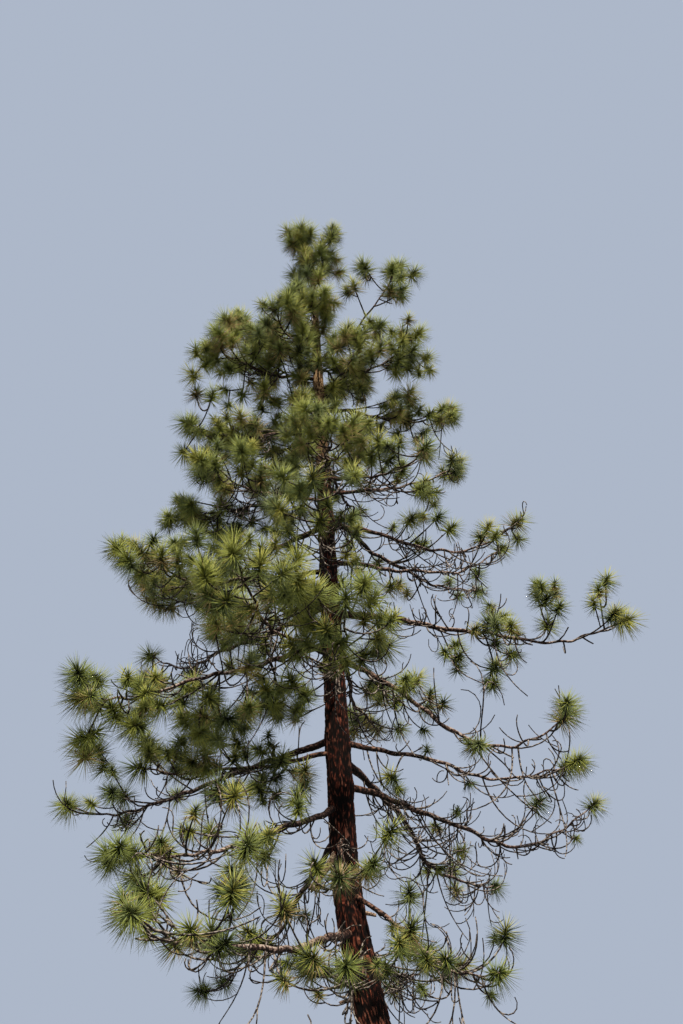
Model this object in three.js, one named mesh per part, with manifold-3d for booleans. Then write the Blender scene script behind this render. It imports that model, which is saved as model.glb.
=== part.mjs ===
// A long-needled pine, about 11.6 m tall, rooted in level ground.
// Millimetres, +Z up. The origin is on the ground, at the middle of the flat cut under the trunk,
// and the side that is lit and seen in front faces -Y.
import * as THREE from "three";
import { mergeVertices } from "three/addons/utils/BufferGeometryUtils.js";
import Module from "manifold-3d";

const wasm = await Module();
wasm.setup();

// Trunk
const TRUNK_TOP = 11050;
const TRUNK_SIDES = 12;
const TRUNK_RINGS = 17;
const RINGS_NEAR_FOOT = 1.5;
const FOOT_RADIUS = 187;
const RADIUS_LOST_PER_MM = 0.01375;
const TIP_FADE_FROM = 10000;
const TIP_FADE = 17;
const FLARE = 58;
const FLARE_HEIGHT = 260;
const FLARE_LOBES = 5;
const LOBE_DEPTH = 0.13;
const LEAN = 0.055;
const BEND = 420;
const BEND_HEIGHT = 3300;

// Broken limbs that stand out of the lower trunk: height, azimuth, length, radius, pitch
const STUBS = [
  [3330, 222, 430, 46, -48],
  [2720, 20, 130, 24, -8],
  [1980, 150, 150, 24, -12],
];
const STUB_TAPER = 0.66;

// Limbs
const LIMB_STEPS = 6;
const BOUGH_STEPS = 5;
const STEM_STEPS = 4;
const BOUGH_SIDES = 5;
const THICK_AT_REACH_0 = 9;
const THICK_PER_MM_OF_REACH = 0.0098;
const COLLAR = 0.35;
const COLLAR_SHARE = 0.05;
const LIMB_TIP_RADIUS = 7;
const WAVER = 0.02;
const SIDE_WAVES = [7, 16];
const RISE_WAVES = [6, 14];
const RISE_SHARE = 0.6;
const SAG_SKEW = 1.6;
const TANGENT_STEP = 0.004;
const THINNING = 0.8;
const BOUGH_SHARE = 0.46;

// Boughs that carry a mass at their outer end: name, height on the trunk, azimuth, reach,
// climb from root to tip, sag as a share of the reach
const BOUGHS = [
  ["low_left_front", 2500, 245, 3600, -150, 0.06],
  ["low_left_back", 3450, 120, 2750, -1250, 0.05],
  ["low_right_back", 4200, 55, 3400, -900, 0.08],
  ["long_left", 4400, 159, 3300, -450, 0.08],
  ["near_left", 3700, 233, 2750, -800, 0.06],
  ["mid_right", 4350, 353, 2350, -300, 0.08],
  ["hanging_right", 3900, 16, 2900, 0, 0.16],
  ["drooping_left", 5450, 220, 2850, -1200, 0.04],
  ["front_left", 5200, 250, 2550, 200, 0.1],
  ["curled_right", 5300, 332, 2500, -1000, 0.2],
  ["long_right", 5800, 345, 3150, -400, 0.08],
  ["long_back", 5600, 78, 2900, -300, 0.08],
  ["far_left", 5900, 138, 3250, 200, 0.1],
  ["back_left", 6900, 147, 2700, -300, 0.08],
];

// Limbs whose mass starts at the trunk itself, in the same columns
const SIDE_LIMBS = [
  ["low_front", 2200, 266, 2200, -100, 0.08],
  ["low_right", 2900, 316, 1750, -800, 0.1],
  ["low_back", 2400, 72, 2700, 50, 0.08],
  ["small_front", 3400, 269, 1600, -600, 0.08],
  ["mid_left", 4250, 197, 2050, -300, 0.06],
  ["front", 4900, 273, 2000, 250, 0.1],
  ["upper_left", 6300, 207, 2200, -200, 0.14],
  ["middle_right", 6400, 16, 2200, 500, 0.11],
  ["upper_right", 6900, 347, 2200, -200, 0.16],
  ["upper_far_left", 7500, 152, 2100, 50, 0.06],
  ["upper_front", 6200, 266, 2000, 200, 0.08],
  ["upper_back", 6650, 98, 2450, 100, 0.08],
  ["back_right", 7000, 42, 2700, -150, 0.08],
  ["high_right", 7300, 16, 1750, 750, 0.1],
  ["high_left", 7200, 216, 1550, 0, 0.1],
  ["high_front_right", 7500, 306, 1850, -450, 0.1],
  ["high_back", 7900, 76, 2050, 250, 0.1],
  ["higher_left", 8200, 195, 1650, -150, 0.1],
  ["higher_right", 8500, 20, 1800, 450, 0.1],
  ["high_front", 7600, 275, 1600, -300, 0.1],
  ["higher_back", 8450, 118, 1600, 300, 0.1],
  ["crown_left", 8950, 205, 1400, 100, 0.1],
  ["crown_front", 9000, 235, 950, 500, 0.1],
  ["crown_right", 8800, 346, 1200, 600, 0.1],
  ["crown_far_right", 9200, 344, 1100, 1350, 0.14],
  ["crown_far_left", 9600, 158, 1100, 700, 0.14],
  ["crown_back", 9150, 62, 1150, 600, 0.12],
  ["top_front", 9950, 262, 400, -100, 0.1],
  ["top_right", 10600, 350, 270, 780, 0.1],
  ["top_left", 10350, 140, 350, 550, 0.2],
  ["leader", 11000, 180, 140, 300, 0],
];

// Twigs and sprays of needles
const TWIG_SIDES = 3;
const TWIG_STEPS = 2;
const TWIG_ROLL = 0.4;
const TWIG_PLACE_SLACK = 0.6;
const TWIG_RADIUS = 10;
const TWIG_TIP_RADIUS = 7;
const FIRST_TWIG_ON_BOUGH = 0.56;
const FIRST_TWIG_ON_TRUNK = 0.36;
const LAST_TWIG = 0.9;
const REACH_PER_TWIG = 760;
const TWIG_TRIES = 5;
const FEWEST_TWIGS = 2;
const TWIG_SPREAD = [32, 68];
const TWIG_LIFT = [-12, 40];
const TWIG_LENGTH = [290, 460];
const FULL_TWIG_REACH = 1500;
const SHORTEST_TWIG_SHARE = 0.5;
const TWIG_LENGTH_SHARE = 0.42;
const TWIG_UPTURN = 0.2;
const SPRAY_CORE = 28;
const NEEDLE = [245, 300];
const NEEDLE_ROOT_RADIUS = 16;
const NEEDLE_TILT = 13;
const NEEDLE_DROOP = 4;
const BARE_BEHIND = -0.42;
const THIN_BEHIND = -0.2;
const THINNED_SHARE = 0.6;
const FEWEST_NEEDLES = 8;

// Room: the gap where limbs meet, the least way between masses, and how low needles may hang
const JOINT_GAP = 0.3;
const CLEARANCE = 3;
const LOWEST = 900;
const TRUNK_ROD = 250;

// Colours
const BARK = "#6e4232";
const LIMB_BARK = "#76675a";
const FOLIAGE = ["#5c7a33", "#55722f", "#68823a", "#4d6b31"];

const UP = new THREE.Vector3(0, 0, 1);
const NEARLY_UPRIGHT = 0.2;
const SAME_POINT = 1e-3;
const FULL_TURN = Math.PI * 2;
const radians = THREE.MathUtils.degToRad;
const mix = THREE.MathUtils.lerp;

// A stream of even random numbers from 0 to 1 that is the same for the same seed.
function seeded(seed) {
  let state = Math.imul(seed, 2654435761) >>> 0;
  return () => {
    state = (state + 0x6d2b79f5) >>> 0;
    let mixed = Math.imul(state ^ (state >>> 15), state | 1);
    mixed ^= mixed + Math.imul(mixed ^ (mixed >>> 7), mixed | 61);
    return ((mixed ^ (mixed >>> 14)) >>> 0) / 4294967296;
  };
}

// Solids

// A closed skin over a row of rings with the same number of points.
function loft(rings) {
  const sides = rings[0].length;
  const points = rings.flat();
  const faces = [];
  for (let k = 0; k + 1 < rings.length; k++) {
    for (let i = 0; i < sides; i++) {
      const a = k * sides + i;
      const b = k * sides + ((i + 1) % sides);
      faces.push(a, b, b + sides, a, b + sides, a + sides);
    }
  }
  const last = (rings.length - 1) * sides;
  for (let i = 1; i + 1 < sides; i++) {
    faces.push(0, i + 1, i, last, last + i, last + i + 1);
  }
  return new THREE.BufferGeometry().setFromPoints(points).setIndex(faces);
}

// A closed tapering tube through the points, with each ring square to the tangent at its point.
function tube(points, radii, sides, roll, tangents) {
  const side = new THREE.Vector3().crossVectors(tangents[0], UP);
  if (side.length() < NEARLY_UPRIGHT) side.crossVectors(tangents[0], new THREE.Vector3(1, 0, 0));
  side.normalize();
  const rings = points.map((point, k) => {
    side.addScaledVector(tangents[k], -side.dot(tangents[k])).normalize();
    const across = new THREE.Vector3().crossVectors(tangents[k], side);
    return Array.from({ length: sides }, (_, i) => {
      const angle = roll + (i / sides) * FULL_TURN;
      return point
        .clone()
        .addScaledVector(side, radii[k] * Math.cos(angle))
        .addScaledVector(across, radii[k] * Math.sin(angle));
    });
  });
  return loft(rings);
}

function solidOf(geometry) {
  const merged = mergeVertices(geometry, SAME_POINT);
  const vertProperties = new Float32Array(merged.attributes.position.array);
  const triVerts = new Uint32Array(merged.index.array);
  return new wasm.Manifold(new wasm.Mesh({ numProp: 3, vertProperties, triVerts }));
}

// The largest body of a solid: loose scraps go, and a hollow sealed inside is filled.
function mainBody(solid) {
  const bodies = solid.decompose();
  return bodies.reduce((best, body) => (body.volume() > best.volume() ? body : best));
}

function meshOf(name, solid, place, colour, roughness) {
  const { vertProperties, triVerts, numProp } = solid.getMesh();
  const positions = new Float32Array((vertProperties.length / numProp) * 3);
  for (let i = 0; i < positions.length / 3; i++) {
    for (let axis = 0; axis < 3; axis++) {
      positions[i * 3 + axis] = vertProperties[i * numProp + axis];
    }
  }
  const geometry = new THREE.BufferGeometry();
  geometry.setAttribute("position", new THREE.BufferAttribute(positions, 3));
  geometry.setIndex(new THREE.BufferAttribute(new Uint32Array(triVerts), 1));
  geometry.translate(-place.x, -place.y, -place.z);
  geometry.computeVertexNormals();
  const material = new THREE.MeshStandardMaterial({ color: colour, roughness, metalness: 0 });
  const mesh = new THREE.Mesh(geometry, material);
  mesh.name = name;
  mesh.position.copy(place);
  return mesh;
}

// Trunk

function trunkAxis(z) {
  const s = THREE.MathUtils.smoothstep(z, 0, BEND_HEIGHT);
  return new THREE.Vector3(-(LEAN * z + BEND * s), 0, z);
}

function trunkRadius(z) {
  const fade = Math.max(0, (z - TIP_FADE_FROM) / (TRUNK_TOP - TIP_FADE_FROM));
  return FOOT_RADIUS - RADIUS_LOST_PER_MM * z - TIP_FADE * fade * fade;
}

function trunkRing(z, grown) {
  const axis = trunkAxis(z);
  const flare = Math.exp(-z / FLARE_HEIGHT);
  return Array.from({ length: TRUNK_SIDES }, (_, i) => {
    const angle = (i / TRUNK_SIDES) * FULL_TURN;
    const lobe = 1 + LOBE_DEPTH * flare * Math.cos(FLARE_LOBES * angle);
    const radius = (trunkRadius(z) + FLARE * flare) * lobe + grown;
    return new THREE.Vector3(
      axis.x + radius * Math.cos(angle),
      axis.y + radius * Math.sin(angle),
      z,
    );
  });
}

// Rings lie closer together near the foot, where the flare and the bend are.
function trunkSolid(grown) {
  const rings = [];
  for (let k = 0; k <= TRUNK_RINGS; k++) {
    const share = (k / TRUNK_RINGS) ** RINGS_NEAR_FOOT;
    rings.push(trunkRing(TRUNK_TOP * share, grown));
  }
  if (grown) rings.push(trunkRing(TRUNK_TOP, grown).map((p) => p.setZ(p.z + grown)));
  return solidOf(loft(rings));
}

function bearing(azimuth, pitch = 0) {
  const flat = Math.cos(radians(pitch));
  return new THREE.Vector3(
    flat * Math.cos(radians(azimuth)),
    flat * Math.sin(radians(azimuth)),
    Math.sin(radians(pitch)),
  );
}

function stubSolid([height, azimuth, length, radius, pitch]) {
  const root = trunkAxis(height);
  const way = bearing(azimuth, pitch);
  const reach = trunkRadius(height) / Math.cos(radians(pitch)) + length;
  const points = [root, root.clone().addScaledVector(way, reach)];
  const radii = [radius, radius * STUB_TAPER];
  return solidOf(tube(points, radii, BOUGH_SIDES, azimuth, [way, way]));
}

// Limbs

function limbOf([name, height, azimuth, reach, climb, sag], index, carried) {
  const draw = seeded(index + 11);
  return {
    name,
    reach,
    climb,
    sag,
    azimuth,
    carried,
    index,
    root: trunkAxis(height),
    rootRadius: THICK_AT_REACH_0 + THICK_PER_MM_OF_REACH * reach,
    phases: [draw(), draw(), draw(), draw()].map((share) => share * FULL_TURN),
    start: carried ? BOUGH_SHARE : 0,
  };
}

// The point at share t of a limb: out along its azimuth, climbing, sagging and wavering a little.
function limbPoint(limb, t) {
  const waves = ([slow, quick], [a, b]) => Math.sin(slow * t + a) + 0.5 * Math.sin(quick * t + b);
  const waver = WAVER * limb.reach * Math.sin(Math.PI * t);
  const sideways = waver * waves(SIDE_WAVES, limb.phases.slice(0, 2));
  const upwards = waver * RISE_SHARE * waves(RISE_WAVES, limb.phases.slice(2));
  const sagging = limb.sag * limb.reach * Math.sin(Math.PI * Math.max(t, 0) ** SAG_SKEW);
  return limb.root
    .clone()
    .addScaledVector(bearing(limb.azimuth), limb.reach * t)
    .addScaledVector(bearing(limb.azimuth + 90), sideways)
    .addScaledVector(UP, limb.climb * t - sagging + upwards);
}

function limbTangent(limb, t) {
  return limbPoint(limb, t + TANGENT_STEP).sub(limbPoint(limb, t - TANGENT_STEP)).normalize();
}

function limbRadius(limb, t) {
  const collar = 1 + COLLAR * Math.exp(-t / COLLAR_SHARE);
  return collar * mix(limb.rootRadius, LIMB_TIP_RADIUS, t ** THINNING);
}

// The limb from share t0 to share t1, ended by flat cuts that are moved in by the given gaps.
function limbTube(limb, t0, t1, steps, sides, gap0, gap1) {
  const shares = Array.from({ length: steps + 1 }, (_, k) => mix(t0, t1, k / steps));
  const tangents = shares.map((t) => limbTangent(limb, t));
  const points = shares.map((t) => limbPoint(limb, t));
  points[0].addScaledVector(tangents[0], gap0);
  points[steps].addScaledVector(tangents[steps], -gap1);
  const radii = shares.map((t) => limbRadius(limb, t));
  return { points, radii, solid: solidOf(tube(points, radii, sides, 0, tangents)) };
}

// Room that each node holds, as round-ended rods

const rods = [];

function rod(from, to, radius, piece) {
  const box = new THREE.Box3().setFromPoints([from, to]).expandByScalar(radius + CLEARANCE);
  return { from, to, radius, piece, box };
}

// The shortest way between two straight stretches.
function stretchGap(p1, q1, p2, q2) {
  const d1 = q1.clone().sub(p1);
  const d2 = q2.clone().sub(p2);
  const r = p1.clone().sub(p2);
  const a = d1.lengthSq();
  const e = d2.lengthSq();
  const b = d1.dot(d2);
  const c = d1.dot(r);
  const f = d2.dot(r);
  const apart = a * e - b * b;
  const limit = (value) => THREE.MathUtils.clamp(value, 0, 1);
  let s = apart > 1e-6 ? limit((b * f - c * e) / apart) : 0;
  let t = (b * s + f) / e;
  if (t < 0) s = limit(-c / a);
  else if (t > 1) s = limit((b - c) / a);
  t = limit(t);
  return p1.clone().addScaledVector(d1, s).distanceTo(p2.clone().addScaledVector(d2, t));
}

// Whether the rods stay clear of every piece but the one that bears them.
function isFree(made, bearer) {
  return made.every((one) =>
    rods.every((other) => {
      if (other.piece === bearer) return true;
      if (!one.box.intersectsBox(other.box)) return true;
      const gap = stretchGap(one.from, one.to, other.from, other.to);
      return gap > one.radius + other.radius + CLEARANCE;
    }),
  );
}

function rodsAlong(points, radii, piece) {
  const made = [];
  for (let k = 0; k + 1 < points.length; k++) {
    made.push(rod(points[k], points[k + 1], Math.max(radii[k], radii[k + 1]), piece));
  }
  return made;
}

// Needles

const coreGeometry = new THREE.IcosahedronGeometry(1, 0);
const coreCorners = mergeVertices(coreGeometry.deleteAttribute("normal").deleteAttribute("uv"));
const corePoints = [];
for (let i = 0; i < coreCorners.attributes.position.count; i++) {
  corePoints.push(new THREE.Vector3().fromBufferAttribute(coreCorners.attributes.position, i));
}
const coreFaces = [];
for (let i = 0; i < coreCorners.index.count; i += 3) {
  coreFaces.push(Array.from(coreCorners.index.array.slice(i, i + 3)));
}

const rearFace = coreFaces[0];
const rearWay = rearFace.reduce((sum, i) => sum.add(corePoints[i]), new THREE.Vector3()).normalize();

// A slim core on the end of a twig. The twig enters its rear face. That face and those beside it
// stay flat, needles are few on the faces that look back, and each of the others is drawn out into
// one needle.
function spray(centre, way, draw, bearer) {
  const turn = new THREE.Quaternion().setFromUnitVectors(rearWay, way.clone().negate());
  const roll = new THREE.Quaternion().setFromAxisAngle(way, draw() * FULL_TURN);
  const corners = corePoints.map((p) => p.clone().applyQuaternion(turn).applyQuaternion(roll));
  const points = corners.map((p) => centre.clone().addScaledVector(p, SPRAY_CORE));
  const faces = [];
  let needles = 0;
  const made = [];
  for (const face of coreFaces) {
    const middle = new THREE.Vector3();
    face.forEach((i) => middle.add(corners[i]));
    middle.normalize();
    const aside = new THREE.Vector3().crossVectors(middle, UP).normalize();
    aside.applyAxisAngle(middle, draw() * FULL_TURN);
    const needleWay = middle.clone().addScaledVector(aside, Math.tan(radians(NEEDLE_TILT)) * draw());
    needleWay.addScaledVector(UP, -Math.tan(radians(NEEDLE_DROOP))).normalize();
    const apex = centre.clone().addScaledVector(needleWay, mix(...NEEDLE, draw()));
    const ahead = middle.dot(way);
    const bare = ahead < BARE_BEHIND || (ahead < THIN_BEHIND && draw() < THINNED_SHARE);
    const half = centre.clone().lerp(apex, 0.5);
    const needleRods = [
      rod(centre, half, NEEDLE_ROOT_RADIUS, bearer),
      rod(half, apex, NEEDLE_ROOT_RADIUS / 2, bearer),
    ];
    if (bare || apex.z < LOWEST || !isFree(needleRods, bearer)) {
      faces.push(...face);
      continue;
    }
    const tip = points.push(apex) - 1;
    faces.push(face[0], face[1], tip, face[1], face[2], tip, face[2], face[0], tip);
    made.push(...needleRods);
    needles++;
  }
  const geometry = new THREE.BufferGeometry().setFromPoints(points).setIndex(faces);
  return { needles, made, geometry };
}

// Twigs

// A twig leaves the stem to one side, and its outer end turns up.
function twigPoint(twig, s) {
  return twig.root
    .clone()
    .addScaledVector(twig.way, twig.length * s)
    .addScaledVector(UP, twig.length * TWIG_UPTURN * s * s);
}

function twigOf(limb, t, side, draw) {
  const spread = side * mix(...TWIG_SPREAD, draw());
  const pitch = mix(...TWIG_LIFT, draw());
  const forward = limbTangent(limb, t);
  const azimuth = THREE.MathUtils.radToDeg(Math.atan2(forward.y, forward.x));
  const own = mix(SHORTEST_TWIG_SHARE, 1, Math.min(1, limb.reach / FULL_TWIG_REACH));
  const longer = TWIG_LENGTH_SHARE * limb.reach * (1 - t) * draw();
  return {
    root: limbPoint(limb, t),
    way: bearing(azimuth + spread, pitch),
    length: own * mix(...TWIG_LENGTH, draw()) + longer,
  };
}

function twigTube(twig, piece) {
  const shares = Array.from({ length: TWIG_STEPS + 1 }, (_, k) => k / TWIG_STEPS);
  const points = shares.map((s) => twigPoint(twig, s));
  const tangents = shares.map((s) =>
    twigPoint(twig, s + TANGENT_STEP).sub(twigPoint(twig, s - TANGENT_STEP)).normalize(),
  );
  const radii = shares.map((s) => mix(TWIG_RADIUS, TWIG_TIP_RADIUS, s));
  return {
    end: points[TWIG_STEPS],
    way: tangents[TWIG_STEPS],
    made: rodsAlong(points, radii, piece),
    geometry: tube(points, radii, TWIG_SIDES, TWIG_ROLL, tangents),
  };
}

function twigCount(limb) {
  return Math.max(FEWEST_TWIGS, Math.round(limb.reach / REACH_PER_TWIG));
}

// The twig in one place of a limb's mass, on alternate sides from first to last. It is tried again
// with other draws where it would touch something, and left out where every try does.
function grownTwig(limb, k, draw) {
  const first = limb.carried ? FIRST_TWIG_ON_BOUGH : FIRST_TWIG_ON_TRUNK;
  const piece = limb.name + " twig " + k;
  for (let tries = 0; tries < TWIG_TRIES; tries++) {
    const t = mix(first, LAST_TWIG, (k + TWIG_PLACE_SLACK * draw()) / twigCount(limb));
    const wood = twigTube(twigOf(limb, t, k % 2 ? 1 : -1, draw), piece);
    if (!isFree(wood.made, limb.name)) continue;
    const tuft = spray(wood.end, wood.way, draw, piece);
    if (tuft.needles >= FEWEST_NEEDLES) return { wood, tuft };
  }
  return null;
}

// Assembly

const tree = new THREE.Group();

const trunkRoom = trunkSolid(JOINT_GAP);
const trunk = STUBS.reduce((solid, stub) => solid.add(stubSolid(stub)), trunkSolid(0));
tree.add(meshOf("trunk", trunk, trunkAxis(0), BARK, 0.9));
for (let z = 0; z < TRUNK_TOP; z += TRUNK_ROD) {
  const top = Math.min(z + TRUNK_ROD, TRUNK_TOP);
  const radius = trunkRadius(z) + FLARE * Math.exp(-z / FLARE_HEIGHT);
  rods.push(rod(trunkAxis(z), trunkAxis(top), radius, "trunk"));
}
for (const [height, azimuth, length, radius, pitch] of STUBS) {
  const root = trunkAxis(height);
  const far = trunkRadius(height) / Math.cos(radians(pitch)) + length;
  rods.push(rod(root, root.clone().addScaledVector(bearing(azimuth, pitch), far), radius, "trunk"));
}

const limbs = [
  ...BOUGHS.map((row, i) => limbOf(row, i, true)),
  ...SIDE_LIMBS.map((row, i) => limbOf(row, i + BOUGHS.length, false)),
];

// Every bough and stem takes its room first, so that twigs and needles give way to limbs.
for (const limb of limbs) {
  const half = JOINT_GAP / 2;
  if (limb.carried) {
    const bough = limbTube(limb, 0, BOUGH_SHARE, BOUGH_STEPS, BOUGH_SIDES, 0, half);
    limb.bough = mainBody(bough.solid.subtract(trunkRoom));
    rods.push(...rodsAlong(bough.points, bough.radii, limb.name + " bough"));
  }
  const steps = limb.carried ? STEM_STEPS : LIMB_STEPS;
  const stem = limbTube(limb, limb.start, 1, steps, TWIG_SIDES, half, 0);
  limb.stem = limb.carried ? stem.solid : mainBody(stem.solid.subtract(trunkRoom));
  limb.end = stem.points[steps];
  rods.push(...rodsAlong(stem.points, stem.radii, limb.name));
}

for (const limb of limbs) {
  const draw = seeded(limb.index + 1001);
  let mass = limb.stem;
  const endSpray = spray(limb.end, limbTangent(limb, 1), draw, limb.name);
  mass = mass.add(solidOf(endSpray.geometry));
  rods.push(...endSpray.made);
  for (let k = 0; k < twigCount(limb); k++) {
    const grown = grownTwig(limb, k, draw);
    if (!grown) continue;
    const { wood, tuft } = grown;
    mass = mass.add(solidOf(wood.geometry)).add(solidOf(tuft.geometry));
    rods.push(...wood.made, ...tuft.made);
  }
  limb.mass = mainBody(mass);
}

for (const limb of limbs) {
  if (limb.carried) tree.add(meshOf("bough_" + limb.name, limb.bough, limb.root, LIMB_BARK, 0.85));
  const colour = FOLIAGE[limb.index % FOLIAGE.length];
  tree.add(meshOf("foliage_" + limb.name, limb.mass, limb.root, colour, 0.7));
}

export default tree;
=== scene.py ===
"""A long-needled pine, about 11.6 m tall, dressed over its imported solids.

The limbs, twigs and tufts grow here by the rule of the solids, carried on to finer twigs. The rule
works in millimetres and degrees, and every mesh is in metres, in the frame of the solids.
"""

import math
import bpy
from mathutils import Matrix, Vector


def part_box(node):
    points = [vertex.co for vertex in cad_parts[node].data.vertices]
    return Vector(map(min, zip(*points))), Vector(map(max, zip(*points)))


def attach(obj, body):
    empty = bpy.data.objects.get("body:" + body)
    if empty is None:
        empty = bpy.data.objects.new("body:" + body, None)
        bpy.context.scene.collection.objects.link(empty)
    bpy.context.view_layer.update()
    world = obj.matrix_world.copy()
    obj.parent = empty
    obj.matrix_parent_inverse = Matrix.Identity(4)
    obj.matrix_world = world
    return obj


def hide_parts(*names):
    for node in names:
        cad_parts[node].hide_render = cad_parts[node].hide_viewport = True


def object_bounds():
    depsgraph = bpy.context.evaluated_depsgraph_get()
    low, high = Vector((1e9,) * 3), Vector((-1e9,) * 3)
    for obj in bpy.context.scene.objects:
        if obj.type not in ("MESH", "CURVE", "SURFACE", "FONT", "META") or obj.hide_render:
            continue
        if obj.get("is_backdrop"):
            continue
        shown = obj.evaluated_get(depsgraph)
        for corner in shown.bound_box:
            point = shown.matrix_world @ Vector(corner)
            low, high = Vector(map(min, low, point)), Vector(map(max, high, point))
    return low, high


bl_info = {
    "name": "Long-needled pine",
    "version": (1, 0, 0),
    "blender": (4, 5, 0),
    "location": "3D View > Sidebar > Pine",
    "description": "Dresses a pine's solids with bark relief, boughs, twigs and tufts of needles",
    "category": "Object",
}

from types import SimpleNamespace

import bpy
import numpy as np
from bpy.props import FloatProperty, FloatVectorProperty, IntProperty, PointerProperty
from bpy.types import Operator, Panel, PropertyGroup
from mathutils import Quaternion, Vector

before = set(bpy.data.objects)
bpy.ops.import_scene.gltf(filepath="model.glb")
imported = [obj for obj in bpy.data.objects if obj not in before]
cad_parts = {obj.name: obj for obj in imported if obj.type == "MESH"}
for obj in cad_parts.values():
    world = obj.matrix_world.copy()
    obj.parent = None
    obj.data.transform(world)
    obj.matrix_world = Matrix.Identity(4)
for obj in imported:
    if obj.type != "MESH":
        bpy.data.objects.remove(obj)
solids_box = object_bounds()

MM = 0.001
TAU = 2 * math.pi
UP = np.array([0.0, 0.0, 1.0])

# Trunk of the solids, in millimetres
TRUNK_TOP = 11050
FOOT_RADIUS = 187
RADIUS_LOST_PER_MM = 0.01375
TIP_FADE_FROM = 10000
TIP_FADE = 17
FLARE = 58
FLARE_HEIGHT = 260
FLARE_LOBES = 5
LOBE_DEPTH = 0.13
LEAN = 0.055
BEND = 420
BEND_HEIGHT = 3300
TRUNK_ROD = 250

# Broken limbs on the lower trunk: height, azimuth, length, radius, pitch
STUBS = [(3330, 222, 430, 46, -48), (2720, 20, 130, 24, -8), (1980, 150, 150, 24, -12)]
STUB_TAPER = 0.66

# Limbs of the solids
LIMB_STEPS = 6
BOUGH_STEPS = 5
STEM_STEPS = 4
THICK_AT_REACH_0 = 9
THICK_PER_MM_OF_REACH = 0.0098
COLLAR = 0.35
COLLAR_SHARE = 0.05
LIMB_TIP_RADIUS = 7
WAVER = 0.02
SIDE_WAVES = (7, 16)
RISE_WAVES = (6, 14)
RISE_SHARE = 0.6
SAG_SKEW = 1.6
TANGENT_STEP = 0.004
THINNING = 0.8
BOUGH_SHARE = 0.46

# Boughs that carry a mass at their outer end: name, height on the trunk, azimuth, reach, climb
# from root to tip, sag as a share of the reach, and how thickly tufts and bare twigs stand
BOUGHS = [
    ("low_left_front", 2500, 245, 3600, -150, 0.06, 0.3, 0.9),
    ("low_left_back", 3450, 120, 2750, -1250, 0.05, 0.22, 1.5),
    ("low_right_back", 4200, 55, 3400, -900, 0.08, 0.15, 2.0),
    ("long_left", 4400, 159, 3300, -450, 0.08, 0.55, 1),
    ("near_left", 3700, 233, 2750, -800, 0.06, 0.32, 1.3),
    ("mid_right", 4350, 353, 2350, -300, 0.08, 0.1, 1.7),
    ("hanging_right", 3900, 16, 2900, 0, 0.16, 0.1, 2.0),
    ("drooping_left", 5450, 220, 2850, -1200, 0.04, 0.7, 1),
    ("front_left", 5200, 250, 2550, 200, 0.1, 0.8, 1),
    ("curled_right", 5300, 332, 2500, -1000, 0.2, 0.25, 1.5),
    ("long_right", 5800, 345, 3150, -400, 0.08, 0.3, 1),
    ("long_back", 5600, 78, 2900, -300, 0.08, 0.35, 1),
    ("far_left", 5900, 138, 3250, 200, 0.1, 0.8, 1),
    ("back_left", 6900, 147, 2700, -300, 0.08, 0.7, 1),
]

# Limbs whose mass starts at the trunk itself, in the same columns
SIDE_LIMBS = [
    ("low_front", 2200, 266, 2200, -100, 0.08, 0.2, 1),
    ("low_right", 2900, 316, 1750, -800, 0.1, 0.1, 2.2),
    ("low_back", 2400, 72, 2700, 50, 0.08, 0.25, 1.4),
    ("small_front", 3400, 269, 1600, -600, 0.08, 0.2, 1.5),
    ("mid_left", 4250, 197, 2050, -300, 0.06, 0.4, 1),
    ("front", 4900, 273, 2000, 250, 0.1, 0.7, 1),
    ("upper_left", 6300, 207, 2200, -200, 0.14, 0.6, 1),
    ("middle_right", 6400, 16, 2200, 500, 0.11, 0.25, 1),
    ("upper_right", 6900, 347, 2200, -200, 0.16, 0.3, 1),
    ("upper_far_left", 7500, 152, 2100, 50, 0.06, 1, 1),
    ("upper_front", 6200, 266, 2000, 200, 0.08, 0.6, 1),
    ("upper_back", 6650, 98, 2450, 100, 0.08, 0.4, 1),
    ("back_right", 7000, 42, 2700, -150, 0.08, 0.3, 1),
    ("high_right", 7300, 16, 1750, 750, 0.1, 0.6, 1),
    ("high_left", 7200, 216, 1550, 0, 0.1, 1, 1),
    ("high_front_right", 7500, 306, 1850, -450, 0.1, 0.6, 1),
    ("high_back", 7900, 76, 2050, 250, 0.1, 0.5, 1),
    ("higher_left", 8200, 195, 1650, -150, 0.1, 1, 1),
    ("higher_right", 8500, 20, 1800, 450, 0.1, 1, 1),
    ("high_front", 7600, 275, 1600, -300, 0.1, 0.6, 1),
    ("higher_back", 8450, 118, 1600, 300, 0.1, 1, 1),
    ("crown_left", 8950, 205, 1400, 100, 0.1, 1, 1),
    ("crown_front", 9000, 235, 950, 500, 0.1, 1, 1),
    ("crown_right", 8800, 346, 1200, 600, 0.1, 1, 1),
    ("crown_far_right", 9200, 344, 1100, 1350, 0.14, 1, 1),
    ("crown_far_left", 9600, 158, 1100, 700, 0.14, 1, 1),
    ("crown_back", 9150, 62, 1150, 600, 0.12, 1, 1),
    ("top_front", 9950, 262, 400, -100, 0.1, 1, 1),
    ("top_right", 10600, 350, 270, 780, 0.1, 1, 1),
    ("top_left", 10350, 140, 350, 550, 0.2, 1, 1),
    ("leader", 11000, 180, 140, 300, 0, 1, 1),
]
FOLIAGE_NODES = ["foliage_" + row[0] for row in BOUGHS + SIDE_LIMBS]

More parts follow.
